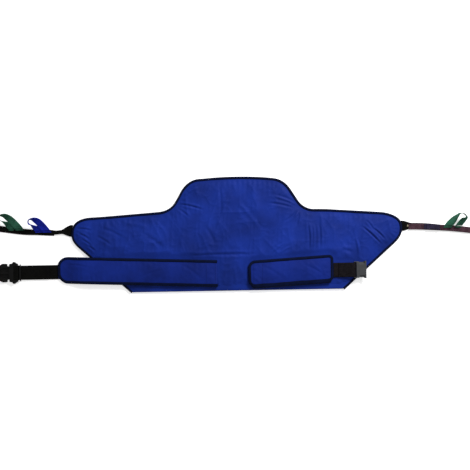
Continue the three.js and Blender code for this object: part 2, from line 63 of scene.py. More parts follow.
FOLD_X = 0.25                 # the fold lines of the wings and the belt arms


# ---- Meshes and objects ----

def new_object(name, data):
    obj = bpy.data.objects.new(name, data)
    bpy.context.scene.collection.objects.link(obj)
    return obj


def opened(*meshes):
    bm = bmesh.new()
    for mesh in meshes:
        bm.from_mesh(mesh)
    return bm


def mesh_of(bm, name):
    mesh = bpy.data.meshes.new(name)
    bm.to_mesh(mesh)
    bm.free()
    return mesh


def shade_smooth(mesh):
    mesh.polygons.foreach_set("use_smooth", [True] * len(mesh.polygons))


def coordinates(obj):
    co = np.empty(len(obj.data.vertices) * 3)
    obj.data.vertices.foreach_get("co", co)
    return co.reshape(-1, 3)


def set_coordinates(obj, co):
    obj.data.vertices.foreach_set("co", co.ravel())
    obj.data.update()


def set_inputs(node, values):
    for name, value in values.items():
        node.inputs[name].default_value = value


# ---- Camera, floor and light ----

VIEW_WIDTH = 1.645            # width of the view at the floor
VIEW_CENTRE = (-0.007, -0.005)
VIEW_HEIGHT = 3.4
ROLL = math.radians(-1.0)
FLOOR_Z = -0.0004
WHITE = (1.0, 1.0, 1.0, 1.0)
LAMP_PLACE = (1.55, 1.95, 1.75)


def add_camera():
    data = bpy.data.cameras.new("camera")
    data.sensor_width = 36.0
    data.lens = 36.0 * VIEW_HEIGHT / VIEW_WIDTH
    data.clip_end = 50.0
    camera = new_object("camera", data)
    camera.location = (*VIEW_CENTRE, VIEW_HEIGHT)
    camera.rotation_euler = (0.0, 0.0, ROLL)
    bpy.context.scene.camera = camera


def add_floor():
    bm = bmesh.new()
    bmesh.ops.create_grid(bm, x_segments=8, y_segments=8, size=6.0)
    floor = new_object("floor", mesh_of(bm, "floor"))
    floor.location = (0.0, 0.0, FLOOR_Z)
    paper = bpy.data.materials.new("floor_paper")
    paper.use_nodes = True
    set_inputs(paper.node_tree.nodes["Principled BSDF"], {
        "Base Color": (0.93, 0.93, 0.93, 1.0), "Roughness": 0.9, "Emission Color": WHITE, "Emission Strength": 0.5})
    floor.data.materials.append(paper)


def add_studio():
    world = bpy.data.worlds.new("studio")
    world.use_nodes = True
    set_inputs(world.node_tree.nodes["Background"], {"Color": WHITE, "Strength": 0.42})
    bpy.context.scene.world = world
    bpy.context.scene.view_settings.view_transform = "Standard"
    data = bpy.data.lights.new("key", "AREA")
    data.size = 1.0
    data.energy = 110.0
    lamp = new_object("key", data)
    lamp.location = LAMP_PLACE
    lamp.rotation_euler = (-Vector(LAMP_PLACE)).to_track_quat("-Z", "Y").to_euler()


# ---- Small geometry helpers ----

def smoothstep(low, high, value):
    t = np.clip((np.asarray(value, float) - low) / (high - low), 0.0, 1.0)
    return t * t * (3.0 - 2.0 * t)


def window(low, full, fall, gone, value):
    """Rises from low to full and falls again from fall to gone."""
    return smoothstep(low, full, value) * (1.0 - smoothstep(fall, gone, value))


def catmull(knots, share):
    """A point on the Catmull-Rom curve through knots, share from 0 to 1."""
    knots = np.asarray(knots, float)
    last = len(knots) - 1
    along = min(max(share, 0.0), 1.0) * last
    i = min(int(along), last - 1)
    t = along - i
    p1, p2 = knots[i], knots[i + 1]
    p0 = knots[i - 1] if i > 0 else 2 * p1 - p2
    p3 = knots[i + 2] if i + 2 <= last else 2 * p2 - p1
    return 0.5 * (2 * p1 + (p2 - p0) * t + (2 * p0 - 5 * p1 + 4 * p2 - p3) * t * t
                  + (3 * p1 - p0 - 3 * p2 + p3) * t ** 3)


def norms(vectors):
    return np.linalg.norm(vectors, axis=-1)


def unit(vectors, spare=0.0):
    """Vectors of length one. With a spare length a zero vector stays zero."""
    return vectors / (norms(vectors)[..., None] + spare)


SPARE = 1e-12


def distances(path):
    """How far along a path each of its points is."""
    return np.concatenate([[0.0], np.cumsum(norms(np.diff(path, axis=0)))])


def resample(points, step, closed=False):
    points = np.asarray(points, float)
    if closed:
        points = np.vstack([points, points[:1]])
    reach = distances(points)
    wanted = np.linspace(0.0, reach[-1], max(2, int(round(reach[-1] / step)) + 1))
    out = np.column_stack([np.interp(wanted, reach, column) for column in points.T])
    return out[:-1] if closed else out


def rounded(points, corner=0.45):
    """Cuts the slight corners of a faceted outline twice and keeps the real ones."""
    for _ in range(2):
        out = []
        for i, here in enumerate(points):
            a, b = here - points[i - 1], points[(i + 1) % len(points)] - here
            turn = abs(math.atan2(a[0] * b[1] - a[1] * b[0], a @ b))
            out += [here] if turn > corner else [here - a * 0.25, here + b * 0.25]
        points = np.array(out)
    return points


def inward_normals(path, closed):
    """Unit normals to the left of the path's direction."""
    if closed:
        along = np.roll(path, -1, axis=0) - np.roll(path, 1, axis=0)
    else:
        along = np.gradient(path, axis=0)
    along = unit(along, SPARE)
    return np.column_stack([-along[:, 1], along[:, 0]])


def plan_outline(nodes, grow):
    """The plan outline of plates that meet at the fold lines, anticlockwise, moved out by grow."""
    segments = []
    for node in nodes:
        bm = opened(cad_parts[node].data)
        bmesh.ops.remove_doubles(bm, verts=bm.verts, dist=1e-6)
        bm.normal_update()
        for edge in bm.edges:
            facing = [face for face in edge.link_faces if face.normal.z > 0.7]
            ends = [np.array(vertex.co[:2]) for vertex in edge.verts]
            on_fold = all(abs(abs(end[0]) - FOLD_X) < 0.3 * MM for end in ends) and abs(ends[0][0] - ends[1][0]) < MM
            if len(facing) == 1 and len(edge.link_faces) == 2 and not on_fold:
                segments.append(ends)
        bm.free()
    tree = tree_of([(*end, 0.0) for ends in segments for end in ends])
    used, loop, end = {0}, list(segments[0]), 1
    while len(used) < len(segments):
        near = [index for _, index, _ in tree.find_n((*loop[-1], 0.0), 6) if index // 2 not in used]
        if not near:
            break
        used.add(near[0] // 2)
        end = near[0] ^ 1
        loop.append(segments[end // 2][end % 2])
    loop = np.array(loop[:-1])
    x, y = loop.T
    if np.sum(x * np.roll(y, -1) - y * np.roll(x, -1)) < 0:
        loop = loop[::-1]
    loop = loop[norms(loop - np.roll(loop, 1, axis=0)) > 0.4 * MM]
    before = unit(loop - np.roll(loop, 1, axis=0))
    after = np.roll(before, -1, axis=0)
    bisector = unit(before + after)
    reach = grow / np.maximum(0.5, np.sum(bisector * after, axis=1))
    return loop + np.column_stack([bisector[:, 1], -bisector[:, 0]]) * reach[:, None]


def edge_distance(points, outline):
    """Distance from plan points to an outline, the direction away from its nearest point, and how far
    round the outline that point is."""
    best, away, round_at = np.full(len(points), 1e9), np.zeros((len(points), 2)), np.zeros(len(points))
    reach = 0.0
    for a, b in zip(outline, np.roll(outline, -1, axis=0)):
        length = norms(b - a)
        t = np.clip(((points - a) @ (b - a)) / max(length ** 2, 1e-12), 0.0, 1.0)
        offset = points - (a + t[:, None] * (b - a))
        gap = norms(offset)
        closer = gap < best
        best[closer] = gap[closer]
        away[closer] = offset[closer] / (gap[closer][:, None] + 1e-9)
        round_at[closer] = reach + t[closer] * length
        reach += length
    return best, away, round_at


def inside(points, outline):
    x, y = points[:, 0], points[:, 1]
    result = np.zeros(len(points), bool)
    for a, b in zip(outline, np.roll(outline, -1, axis=0)):
        crosses = (a[1] > y) != (b[1] > y)
        with np.errstate(divide="ignore", invalid="ignore"):
            at = a[0] + (y - a[1]) * (b[0] - a[0]) / (b[1] - a[1])
        result ^= crosses & (x < at)
    return result


def open_part(path, chosen):
    """The chosen stretch of a closed path, in order from one end to the other."""
    part = path[chosen]
    return np.roll(part, -int(np.argmax(norms(part - np.roll(part, 1, axis=0)))), axis=0)


def tree_of(points):
    tree = KDTree(len(points))
    for i, point in enumerate(points):
        tree.insert(point, i)
    tree.balance()
    return tree


def tube_faces(count, size, closed=False):
    """Faces between rings of points, with a cap on each end of an open tube."""
    faces = []
    for i in range(count if closed else count - 1):
        j = (i + 1) % count
        for k in range(size):
            m = (k + 1) % size
            faces.append((i * size + k, j * size + k, j * size + m, i * size + m))
    if not closed:
        faces += [tuple(range(size)), tuple((count - 1) * size + k for k in reversed(range(size)))]
    return faces


# ---- Materials ----

def linear(value):
    share = value / 255.0
    return share / 12.92 if share <= 0.04045 else ((share + 0.055) / 1.055) ** 2.4


class Nodes:
    """A material's node tree, with short calls for the nodes used here."""

    def __init__(self, name, rgb, roughness, bump, depth, specular=0.05):
        self.material = bpy.data.materials.new(name)
        self.material.use_nodes = True
        self.tree = self.material.node_tree
        self.shader = self.tree.nodes["Principled BSDF"]
        set_inputs(self.shader, {"Roughness": roughness, "Specular IOR Level": specular})
        self.colour = [linear(value) for value in rgb]
        self.bump = self.node("Bump", Strength=bump, Distance=depth)
        self.feed(self.shader.inputs["Normal"], self.bump.outputs["Normal"])

    def feed(self, socket, value):
        """Sets a socket to a number or links another socket to it."""
        if isinstance(value, bpy.types.NodeSocket):
            self.tree.links.new(value, socket)
        else:
            socket.default_value = value

    def node(self, kind, **inputs):
        node = self.tree.nodes.new(f"ShaderNode{kind}")
        for name, value in inputs.items():
            self.feed(node.inputs[name.replace("_", " ")], value)
        return node

    def place(self):
        return self.node("TexCoord").outputs["Object"]

    def split(self, vector):
        parts = self.node("SeparateXYZ", Vector=vector)
        return parts.outputs["X"], parts.outputs["Y"]

    def flat(self):
        """Place on the cloth in metres, along and across, stored on the mesh."""
        attribute = self.node("Attribute")
        attribute.attribute_name = "flat"
        return self.split(attribute.outputs["Vector"])

    def maths(self, operation, *operands):
        node = self.node("Math")
        node.operation = operation
        for socket, value in zip(node.inputs, operands):
            self.feed(socket, value)
        return node.outputs["Value"]

    def ripple(self, value, period):
        return self.maths("SINE", self.maths("MULTIPLY_ADD", value, 2.0 * pi / period, 0.0))

    def noise(self, scale, detail, stretch=None):
        source = self.place()
        if stretch:
            source = self.node("Mapping", Vector=source, Scale=stretch).outputs["Vector"]
        return self.node("TexNoise", Scale=scale, Detail=detail, Vector=source).outputs["Fac"]

    def paint(self, factor, dark, light):
        """Base colour from dark to light times the material's own colour, as factor goes 0.3 to 0.7."""
        ramp = self.node("ValToRGB", Fac=factor)
        for stop, position, gain in zip(ramp.color_ramp.elements, (0.3, 0.7), (dark, light)):
            stop.position = position
            stop.color = (*[min(1.0, c * gain) for c in self.colour], 1.0)
        self.feed(self.shader.inputs["Base Color"], ramp.outputs["Color"])

    def rough(self, factor, low, high):
        span = self.node("MapRange", Value=factor, To_Min=low, To_Max=high)
        self.feed(self.shader.inputs["Roughness"], span.outputs["Result"])

    def height(self, value, gain, more):
        """Bump from value times gain plus more, which ends the material."""
        self.feed(self.bump.inputs["Height"], self.maths("MULTIPLY_ADD", value, gain, more))
        return self.material


def nylon(name, rgb):
    """Coated oxford nylon: a fine plain weave and soft creases, with a strong colour cloud that is partly the cloth's
    own uneven tone and partly painted shade for its folds.
    """
    look = Nodes(name, rgb, 0.62, bump=0.35, depth=0.00025, specular=0.1)
    warp, weft = [look.ripple(value, 1.1 * MM) for value in look.split(look.place())]
    weave = look.maths("MULTIPLY", warp, weft)
    soft = look.noise(38.0, 4.0)
    # the colour cloud is partly painted shade, standing in for the shading of the cloth's folds
    look.paint(look.maths("MULTIPLY_ADD", weave, 0.05, look.noise(9.0, 5.0)), 0.7, 1.32)
    look.rough(soft, 0.52, 0.7)
    return look.height(weave, 0.35, look.maths("MULTIPLY", soft, 3.0))


def webbing_look(name, rgb):
    """Woven webbing: rows of slanting yarns whose slant changes from row to row."""
    look = Nodes(name, rgb, 0.7, bump=0.6, depth=0.0004)
    along, across = look.flat()
    rows = look.ripple(across, 2 * 3.1 * MM)
    slant = look.maths("MULTIPLY", look.maths("SIGN", rows), across)
    yarn = look.ripple(look.maths("ADD", along, slant), 1.5 * MM)
    wear = look.noise(60.0, 3.0)
    look.paint(look.maths("MULTIPLY_ADD", yarn, 0.16, wear), 0.65, 1.5)
    look.rough(wear, 0.6, 0.82)
    return look.height(yarn, 0.6, look.maths("ABSOLUTE", rows))


def tape_look(name, rgb):
    """Grosgrain binding tape: fine ribs across its length."""
    look = Nodes(name, rgb, 0.68, bump=0.5, depth=0.0003)
    along, across = look.flat()
    ribs = look.ripple(along, 1.3 * MM)
    wear = look.noise(45.0, 3.0)
    look.paint(look.maths("MULTIPLY_ADD", ribs, 0.1, wear), 0.75, 1.35)
    look.rough(wear, 0.58, 0.78)
    return look.height(look.ripple(across, 5.0 * MM), 0.3, ribs)


def thread_look(name, rgb):
    look = Nodes(name, rgb, 0.5, bump=0.3, depth=0.0001)
    twist = look.noise(900.0, 2.0)
    look.paint(twist, 0.8, 1.25)
    return look.height(twist, 1.0, 0.0)


def acetal(name, rgb, low, high):
    """Moulded plastic with a fine spark-eroded grain and faint flow marks."""
    look = Nodes(name, rgb, low, bump=0.18, depth=0.00012, specular=0.16)
    flow = look.noise(40.0, 4.0, stretch=(0.35, 1.0, 1.0))
    look.paint(flow, 0.88, 1.14)
    look.rough(flow, low, high)
    return look.height(flow, 0.6, look.noise(1800.0, 2.0))


LOOKS = {name: make(name, *facts) for name, make, *facts in (
    ("panel_nylon", nylon, (15, 40, 124)),
    ("pad_nylon", nylon, (12, 34, 114)),
    ("binding_tape", tape_look, (5, 13, 42)),
    ("black_webbing", webbing_look, (8, 8, 7)),
    ("belt_webbing", webbing_look, (20, 17, 20)),
    ("maroon_webbing", webbing_look, (62, 42, 50)),
    ("blue_webbing", webbing_look, (20, 32, 138)),
    ("green_webbing", webbing_look, (40, 82, 64)),
    ("black_acetal", acetal, (8, 8, 8), 0.38, 0.54),
    ("grey_acetal", acetal, (61, 62, 64), 0.4, 0.56),
    # a darkened copy of the blue webbing: painted shade for the right blue loop, so that it reads as lying in shade
    ("navy_webbing", webbing_look, (38, 34, 52)),
    ("navy_thread", thread_look, (14, 26, 86)),
    ("dark_thread", thread_look, (14, 14, 20)),
    ("pale_thread", thread_look, (176, 166, 140)))}


def dress(obj, slot, look=None):
    obj.data.materials.clear()
    obj.data.materials.append(LOOKS[look or slot])


# ---- Tape and thread ----

def tape(name, path, closed, levels, depth, shadow_flare):
    """Tape folded round an edge. levels(points) gives the lowest and highest height of the edge.
    Along a lower edge the tape is widened outwards by the last argument, so that a dark band of it lies as painted
    shadow under the edge."""
    path = resample(path, 3.5 * MM, closed)
    normals = inward_normals(path, closed)
    low, high = levels(path)
    # painted shadow: along a lower edge the dark tape reaches out past the edge to stand for the shadow under it
    out = shadow_flare * smoothstep(0.85, 0.98, normals[:, 1])
    path = path - normals * out[:, None]
    rim = depth - 0.8 * MM
    # inset, share of the height from bottom to top, extra height; the outside, then the inside
    profile = [(depth, 1.0, -0.2), (rim, 1.0, 0.25), (0.62 * depth, 1.0, 0.35), (0.3 * depth, 1.0, 0.0),
               (0.1 * depth, 0.86, 0.0), (0.0, 0.62, 0.0), (-0.05 * MM, 0.5, 0.0), (0.0, 0.36, 0.0),
               (0.1 * depth, 0.14, 0.0), (0.3 * depth, 0.0, 0.0), (0.62 * depth, 0.0, -0.1), (rim, 0.0, 0.0),
               (depth, 0.0, 0.3),
               (depth, 0.0, 0.85), (0.34 * depth, 0.0, 0.85), (0.17 * depth, 0.3, 0.3), (0.14 * depth, 0.5, 0.0),
               (0.17 * depth, 0.7, -0.3), (0.34 * depth, 1.0, -0.85), (depth, 1.0, -0.85)]
    across = distances([(inset, share * 6 * MM) for inset, share, _ in profile])
    reach = distances(path)
    wobble = 0.25 * MM * np.sin(reach / (23 * MM)) + 0.2 * MM * np.sin(reach / (9.7 * MM) + 1.0)
    verts, flats = [], []
    for i, here in enumerate(path):
        for k, (inset, share, extra) in enumerate(profile):
            deep = inset + (wobble[i] if inset > 0.5 * depth else 0.0)
            plan = here + normals[i] * deep * (1.0 + out[i] / depth)
            verts.append((*plan, low[i] + (high[i] - low[i]) * share + extra * MM))
            flats.append((reach[i], across[k], 0.0))
    obj = mesh_object(name, verts, tube_faces(len(path), len(profile), closed), flats)
    dress(obj, "binding_tape")
    return obj


def mesh_object(name, verts, faces, flats=None):
    mesh = bpy.data.meshes.new(name)
    mesh.from_pydata([tuple(v) for v in verts], [], faces)
    if flats is not None:
        attribute = mesh.attributes.new("flat", "FLOAT_VECTOR", "POINT")
        attribute.data.foreach_set("vector", np.asarray(flats, float).ravel())
    bm = opened(mesh)
    bmesh.ops.recalc_face_normals(bm, faces=bm.faces)
    bm.to_mesh(mesh)
    bm.free()
    shade_smooth(mesh)
    # square ends keep a crisp rim, so the sides near them shade evenly
    rims = {key for polygon in mesh.polygons if len(polygon.vertices) > 8 for key in polygon.edge_keys}
    for edge in mesh.edges:
        edge.use_edge_sharp = edge.key in rims
    return new_object(name, mesh)


def sewn_row(x, y, z, up=1.0):
    """A row of stitches: its places, from arrays or single numbers, and the way each stitch faces."""
    places = np.column_stack(np.broadcast_arrays(x, y, z))
    return places, np.tile([0.0, 0.0, up], (len(places), 1))


def stitches(name, rows, look, slot, pitch=4.2 * MM, radius=0.42 * MM):
    """Threads sunk half into the cloth, one short tube for each stitch."""
    ring, length = 6, 3.0 * MM
    verts, faces = [], []
    for points, normals in rows:
        reach = distances(points)

        def at(table, place):
            return np.array([np.interp(place, reach, column) for column in table.T])

        for start in np.arange(pitch * 0.4, reach[-1] - length, pitch):
            first, last = at(points, start), at(points, start + length)
            up = unit(at(normals, start + length / 2), SPARE)
            side = unit(np.cross(unit(last - first, SPARE), up), SPARE)
            base = len(verts)
            for share, size, lift in ((0.0, 0.45, -0.25), (0.22, 1.0, 0.35), (0.78, 1.0, 0.35), (1.0, 0.45, -0.25)):
                centre = first * (1 - share) + last * share + up * lift * radius
                for k in range(ring):
                    angle = 2 * pi * k / ring
                    verts.append(centre + (side * cos(angle) + up * sin(angle)) * radius * size)
            faces += [tuple(base + index for index in face) for face in tube_faces(4, ring)]
    obj = mesh_object(name, verts, faces)
    dress(obj, slot, look)
    return obj


# ---- Swollen padding ----

def apply_modifiers(obj):
    graph = bpy.context.evaluated_depsgraph_get()
    result = bpy.data.meshes.new_from_object(obj.evaluated_get(graph))
    result.name = obj.name
    obj.modifiers.clear()
    obj.data = result


def remeshed(name, nodes, voxel):
    """One closed skin round several CAD nodes."""
    bm = opened(*[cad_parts[node].data for node in nodes])
    obj = new_object(name, mesh_of(bm, name))
    modifier = obj.modifiers.new("remesh", "REMESH")
    modifier.mode = "VOXEL"
    modifier.voxel_size = voxel
    modifier.use_smooth_shade = True
    apply_modifiers(obj)
    return obj


def blow_up(obj, pinned, pressure, cap):
    """Cloth under pressure between pinned points, with no point moving further than about cap."""
    rest = coordinates(obj)
    group = obj.vertex_groups.new(name="pinned")
    pinned = np.round(pinned, 1)
    for strength in np.unique(pinned):
        if strength > 0:
            group.add(np.nonzero(pinned == strength)[0].tolist(), float(strength), "REPLACE")
    modifier = obj.modifiers.new("cloth", "CLOTH")
    settings = modifier.settings
    settings.quality = 5
    settings.mass = 0.3
    settings.tension_stiffness = settings.compression_stiffness = 18.0
    settings.shear_stiffness = 8.0
    settings.bending_stiffness = 0.4
    settings.use_pressure = True
    settings.uniform_pressure_force = pressure
    settings.vertex_group_mass = "pinned"
    settings.effector_weights.gravity = 0.0
    modifier.collision_settings.use_collision = False
    scene = bpy.context.scene
    for step in range(1, 21):
        scene.frame_set(step)
    apply_modifiers(obj)
    obj.vertex_groups.clear()
    scene.frame_set(1)
    moved = coordinates(obj) - rest
    size = norms(moved)
    limited = cap * np.tanh(size / cap)
    set_coordinates(obj, rest + moved * (limited / np.maximum(size, 1e-9))[:, None])


def subdivided(obj):
    modifier = obj.modifiers.new("finer", "SUBSURF")
    modifier.levels = 1
    modifier.render_levels = 1
    apply_modifiers(obj)
    shade_smooth(obj.data)


def relax(obj, rounds):
    bm = opened(obj.data)
    for _ in range(rounds):
        bmesh.ops.smooth_vert(bm, verts=bm.verts, factor=0.5, use_axis_x=True, use_axis_y=True, use_axis_z=True)
    bm.to_mesh(obj.data)
    bm.free()


def vertex_normals(mesh):
    normals = np.empty(len(mesh.vertices) * 3)
    mesh.vertex_normals.foreach_get("vector", normals)
    return normals.reshape(-1, 3)


def upper_face(obj, points):
    """Height of an object's upper face at plan points, from the nearest vertices."""
    co = coordinates(obj)[vertex_normals(obj.data)[:, 2] > 0.35]
    tree = tree_of(co * (1, 1, 0))
    out = []
    for x, y in points:
        near = tree.find_n((x, y, 0.0), 4)
        weights = [1.0 / (gap + 0.5 * MM) for _, _, gap in near]
        out.append(np.average([co[index][2] for _, index, _ in near], weights=weights))
    return np.array(out)


def cut_off(bm, point, away):
    """Cuts off what lies on the away side of a plane and closes the cut."""
    cut = bmesh.ops.bisect_plane(bm, geom=bm.verts[:] + bm.edges[:] + bm.faces[:], plane_co=point, plane_no=away,
                                 clear_outer=True)
    bmesh.ops.edgenet_fill(bm, edges=[item for item in cut["geom_cut"] if isinstance(item, bmesh.types.BMEdge)])


def press_edges(pad, lie, base, outline, thick, swell, full_at, middle, lift):
    """Brings a remeshed pad to its sewn section: thin at the bound edge, thick from full_at inwards.
    Returns each point's gap to the edge, its level from -1 to 1 and its X."""
    co = coordinates(pad)
    co[:, :2] = lie(co[:, :2])
    x = co[:, 0].copy()
    gap, away, _ = edge_distance(co[:, :2], outline)
    low = base(x)
    level = np.clip((co[:, 2] - low) / thick * 2 - 1, -1, 1)
    inner = smoothstep(9 * MM, full_at, gap)
    half = 0.8 * MM + swell * smoothstep(0, 9 * MM, gap) + 1.9 * MM * inner
    co[:, 2] = low + (middle + lift * inner) + level * half
    co[:, :2] += away * np.maximum(0.0, 1.6 * MM - gap)[:, None]
    set_coordinates(pad, co)
    relax(pad, 2)
    return gap, level, x


def wrinkled(pad, base, outline, rise, inset, creases, crumples, pucker, swell=0.0):
    """The pad's points with creases, crumples and puckers on its upper face, and softly raised by swell."""
    co = coordinates(pad)
    plan = co[:, :2]
    gap, _, round_at = edge_distance(plan, outline)
    top = smoothstep(*rise, co[:, 2] - base(co[:, 0])) * smoothstep(8 * MM, inset, gap)
    relief = sum(crease(plan, *item) for item in creases) + sum(crumple(plan, *item) for item in crumples)
    relief += swell * (1.0 - np.exp(-np.maximum(gap - 9 * MM, 0.0) / (15 * MM)))
    co[:, 2] += top * (relief + puckers(gap, round_at, pucker))
    return co


# ---- Creases ----

def crease(points, x0, y0, x1, y1, width, depth):
    """A fold between two plan points: a groove with softer ridges beside it, or a ridge if depth is below 0."""
    width, depth = 0.72 * width, 0.85 * depth
    start = np.array((x0, y0))
    line = np.array((x1, y1)) - start
    length = norms(line)
    along = ((points - start) @ line) / length ** 2
    side = ((points - start) @ np.array([-line[1], line[0]])) / length
    side = side - min(0.05 * length, 3 * MM) * np.sin(np.clip(along, 0, 1) * pi)
    fade = window(-0.05, 0.3, 0.65, 1.05, along)
    groove = -np.exp(-(side / width) ** 2)
    ridge = 0.7 * np.exp(-((side - 1.7 * width) / (1.2 * width)) ** 2)
    ridge += 0.35 * np.exp(-((side + 1.9 * width) / (1.3 * width)) ** 2)
    return depth * fade * (groove + ridge)


# Each crease: X and Y of its start and its end, its width and its depth, in millimetres.
PANEL_CREASES = np.array([
    # round the left tip
    (-564, 43, -512, 53, 4.0, 2.6), (-561, 26, -505, 18, 4.5, 2.8), (-558, 12, -513, -14, 4.5, 2.6),
    (-544, -10, -506, -38, 4.0, 2.4), (-527, -31, -493, -56, 4.5, 2.4), (-547, 59, -487, 49, 4.0, 2.0),
    (-492, 0, -437, -36, 5.5, 1.8), (-477, 28, -394, -9, 7.0, 1.5), (-338, 11, -248, -53, 9.0, 1.4),
    (-407, 47, -303, 25, 9.0, -1.2),
    # from the left foot of the hump
    (-207, 107, -114, 84, 4.5, 3.0), (-197, 127, -126, 168, 6.0, -2.6), (-211, 93, -163, 57, 5.0, 1.8),
    (-175, 155, -133, 175, 5.0, -1.6),
    # the middle, and the long fold above the arms
    (-60, 177, -55, 66, 6.0, 1.2), (-225, -78, 86, -73, 7.0, 2.4), (-111, 28, -74, -42, 8.0, 1.4),
    (-1, 117, 87, 4, 9.0, -1.2),
    # from the right foot of the hump
    (128, 129, 214, 96, 5.0, -2.8), (110, 105, 200, 86, 5.0, 2.2), (218, 82, 165, 37, 5.0, 2.2),
    (218, 78, 206, 23, 5.0, 1.8),
    # upright folds in the right wing
    (248, 36, 250, -69, 5.0, 2.6), (269, 29, 264, -69, 4.5, -2.2), (287, 35, 288, -62, 5.0, 2.4),
    (124, -67, 163, -36, 4.5, -2.0), (145, -74, 188, -47, 5.0, -1.6),
    # the two strong folds by the right tip, and the puckers round them
    (435, 19, 507, -51, 4.2, 4.2), (471, 13, 519, -33, 4.0, 3.6), (451, 39, 475, 7, 4.0, 2.4),
    (415, -23, 424, -79, 5.0, -2.4), (362, -64, 403, -71, 8.0, 2.2), (542, 59, 566, 23, 5.0, -1.8)]) / 1000


def crumple(points, scale, height, seed):
    """Broken, wandering ridges in patches, as in cloth that has been folded and laid out again."""
    rng = np.random.default_rng(seed)

    def wave(period):
        angle = rng.uniform(0, 2 * pi)
        direction = np.array([cos(angle), sin(angle)])
        return (points @ direction) * 2 * pi / period + rng.uniform(0, 2 * pi)

    total = np.zeros(len(points))
    for _ in range(5):
        wander = 1.2 * np.sin(wave(2.6 * scale)) + 0.7 * np.sin(wave(1.4 * scale))
        ridge = (1.0 - np.abs(np.sin(0.5 * wave(scale) + wander))) ** 2
        patch = np.clip(0.35 + 0.9 * np.sin(wave(4.1 * scale)) * np.sin(wave(3.3 * scale)), 0.0, 1.0)
        total += patch * (ridge - 0.27)
    return total * height


def puckers(gap, round_at, height):
    """Short ripples that run in from a bound edge."""
    uneven = 0.55 + 0.45 * np.sin(round_at / 0.047 + 2.0 * np.sin(round_at / 0.19))
    ripple = np.sin(2 * pi * round_at / 0.019 + 1.8 * np.sin(round_at / 0.06))
    reach = np.exp(-gap / (15 * MM)) * smoothstep(9 * MM, 14 * MM, gap)
    return height * uneven * ripple * reach * 2.2


# ---- Back panel ----

EDGE_LOW = 0.35 * MM          # the bound edge, from the floor up
EDGE_HIGH = 8.2 * MM
TAPE_DEPTH = 8.2 * MM
HEM_DEPTH = 28 * MM
HEM_SEAM = 25.5 * MM
PRESSED = 11.7 * MM           # the panel's height where something lies on it
FREE = 17.5 * MM              # and where nothing does
PANEL_PARTS = ("left_wing", "centre", "right_wing")


def layers_of(parts, *layers):
    return [f"{part}_{layer}" for part in parts for layer in layers]


def across_fold(obj, outer):
    """Bakes the piece's placement into its mesh."""
    sign = SIGN[outer.split("_")[0]]
    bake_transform(obj)


def lie_of_panel(points):
    """Plan points of the panel, with the little the cloth has crept out at four places of its edge."""
    points = points.copy()
    x, y = points[:, 0], points[:, 1]
    shoulder = window(0.25, 0.31, 0.50, 0.56, x) * smoothstep(0.0, 0.09, y)
    slant = smoothstep(0.40, 0.50, -x) * window(-0.15, -0.09, -0.02, 0.03, y)
    points[:, 1] += 3.4 * MM * shoulder
    left_foot = window(0.10, 0.14, 0.19, 0.22, -x) * smoothstep(0.11, 0.16, y)
    nose = smoothstep(0.47, 0.54, -x) * smoothstep(0.01, 0.05, y)
    points[:, 0] -= 2.8 * MM * slant + 1.8 * MM * left_foot
    points[:, 1] += 1.5 * MM * left_foot + 2.0 * MM * nose
    return points


def pressed_limit(points, outlines):
    """Highest the panel may stand: flat under the arms and the buckle, free away from them."""
    limit = np.full(len(points), FREE)
    for outline in outlines:
        gap = edge_distance(points, outline)[0]
        gap[inside(points, outline)] = 0.0
        limit = np.minimum(limit, PRESSED + (FREE - PRESSED) * smoothstep(1 * MM, 34 * MM, gap))
    return limit


def level_floor(x):
    return np.zeros(len(x))


def make_panel(outline, pressing):
    nodes = layers_of(PANEL_PARTS, "back_cover", "foam", "front_cover", "binding", "bottom_hem")
    panel = remeshed("panel", nodes, 5 * MM)
    gap, level, _ = press_edges(panel, lie_of_panel, level_floor, outline, thick=11.9 * MM, swell=2.3 * MM,
                                full_at=50 * MM, middle=4.2 * MM, lift=1.3 * MM)
    pinned = np.maximum(1.0 - smoothstep(9 * MM, 13 * MM, gap), level < 0.2)
    blow_up(panel, pinned, 3.5, 8 * MM)
    subdivided(panel)
    co = wrinkled(panel, level_floor, outline, (4.6 * MM, 8.0 * MM), 26 * MM, PANEL_CREASES,
                  [(0.085, 1.6 * MM, 4), (0.034, 0.75 * MM, 9)], 1.2 * MM, swell=2.2 * MM)
    soft = 1.2 * MM           # the last of the height gives way gradually
    knee = pressed_limit(co[:, :2], pressing) - soft
    over = co[:, 2] > knee
    co[over, 2] = knee[over] + soft * np.tanh((co[over, 2] - knee[over]) / soft)
    co[:, 2] = np.maximum(co[:, 2], 0.3 * MM)
    set_coordinates(panel, co)
    return panel


def half_of(panel, name, sign):
    """The part of the panel on one side of its middle, closed where it is cut and shaded as before."""
    normals = vertex_normals(panel.data)
    tree = tree_of(coordinates(panel))
    bm = opened(panel.data)
    cut_off(bm, (0, 0, 0), (-sign, 0, 0))
    mesh = mesh_of(bm, name)
    shade_smooth(mesh)
    mesh.normals_split_custom_set_from_vertices([tuple(normals[tree.find(v.co)[1]]) for v in mesh.vertices])
    return new_object(name, mesh)


def beyond(a, b, distance):
    """The point that far past b on the line from a."""
    return b + unit(b - a) * distance


def diagonal_x(outline, y, side):
    """How far out the slanting edge on one side is at a given Y."""
    return max((a[0] + (y - a[1]) * (b[0] - a[0]) / (b[1] - a[1])) * side
               for a, b in zip(outline, np.roll(outline, -1, axis=0)) if (a[1] > y) != (b[1] > y))


def bind(name, path, closed, levels, depth, nodes, outer, shadow_flare=0.0):
    """Binding tape on the edge of a pad, and a row of stitches on each face of it."""
    binding = tape(f"{name}_binding", path, closed, levels, depth, shadow_flare)
    across_fold(binding, outer)
    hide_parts(*nodes)
    plan = path + inward_normals(path, closed) * (depth - 2 * MM)
    low, high = levels(plan)
    rows = [sewn_row(*plan.T, high + 0.3 * MM), sewn_row(*plan.T, low - 0.1 * MM, -1.0)]
    across_fold(stitches(f"{name}_binding_stitching", rows, "dark_thread", "binding_tape"), outer)


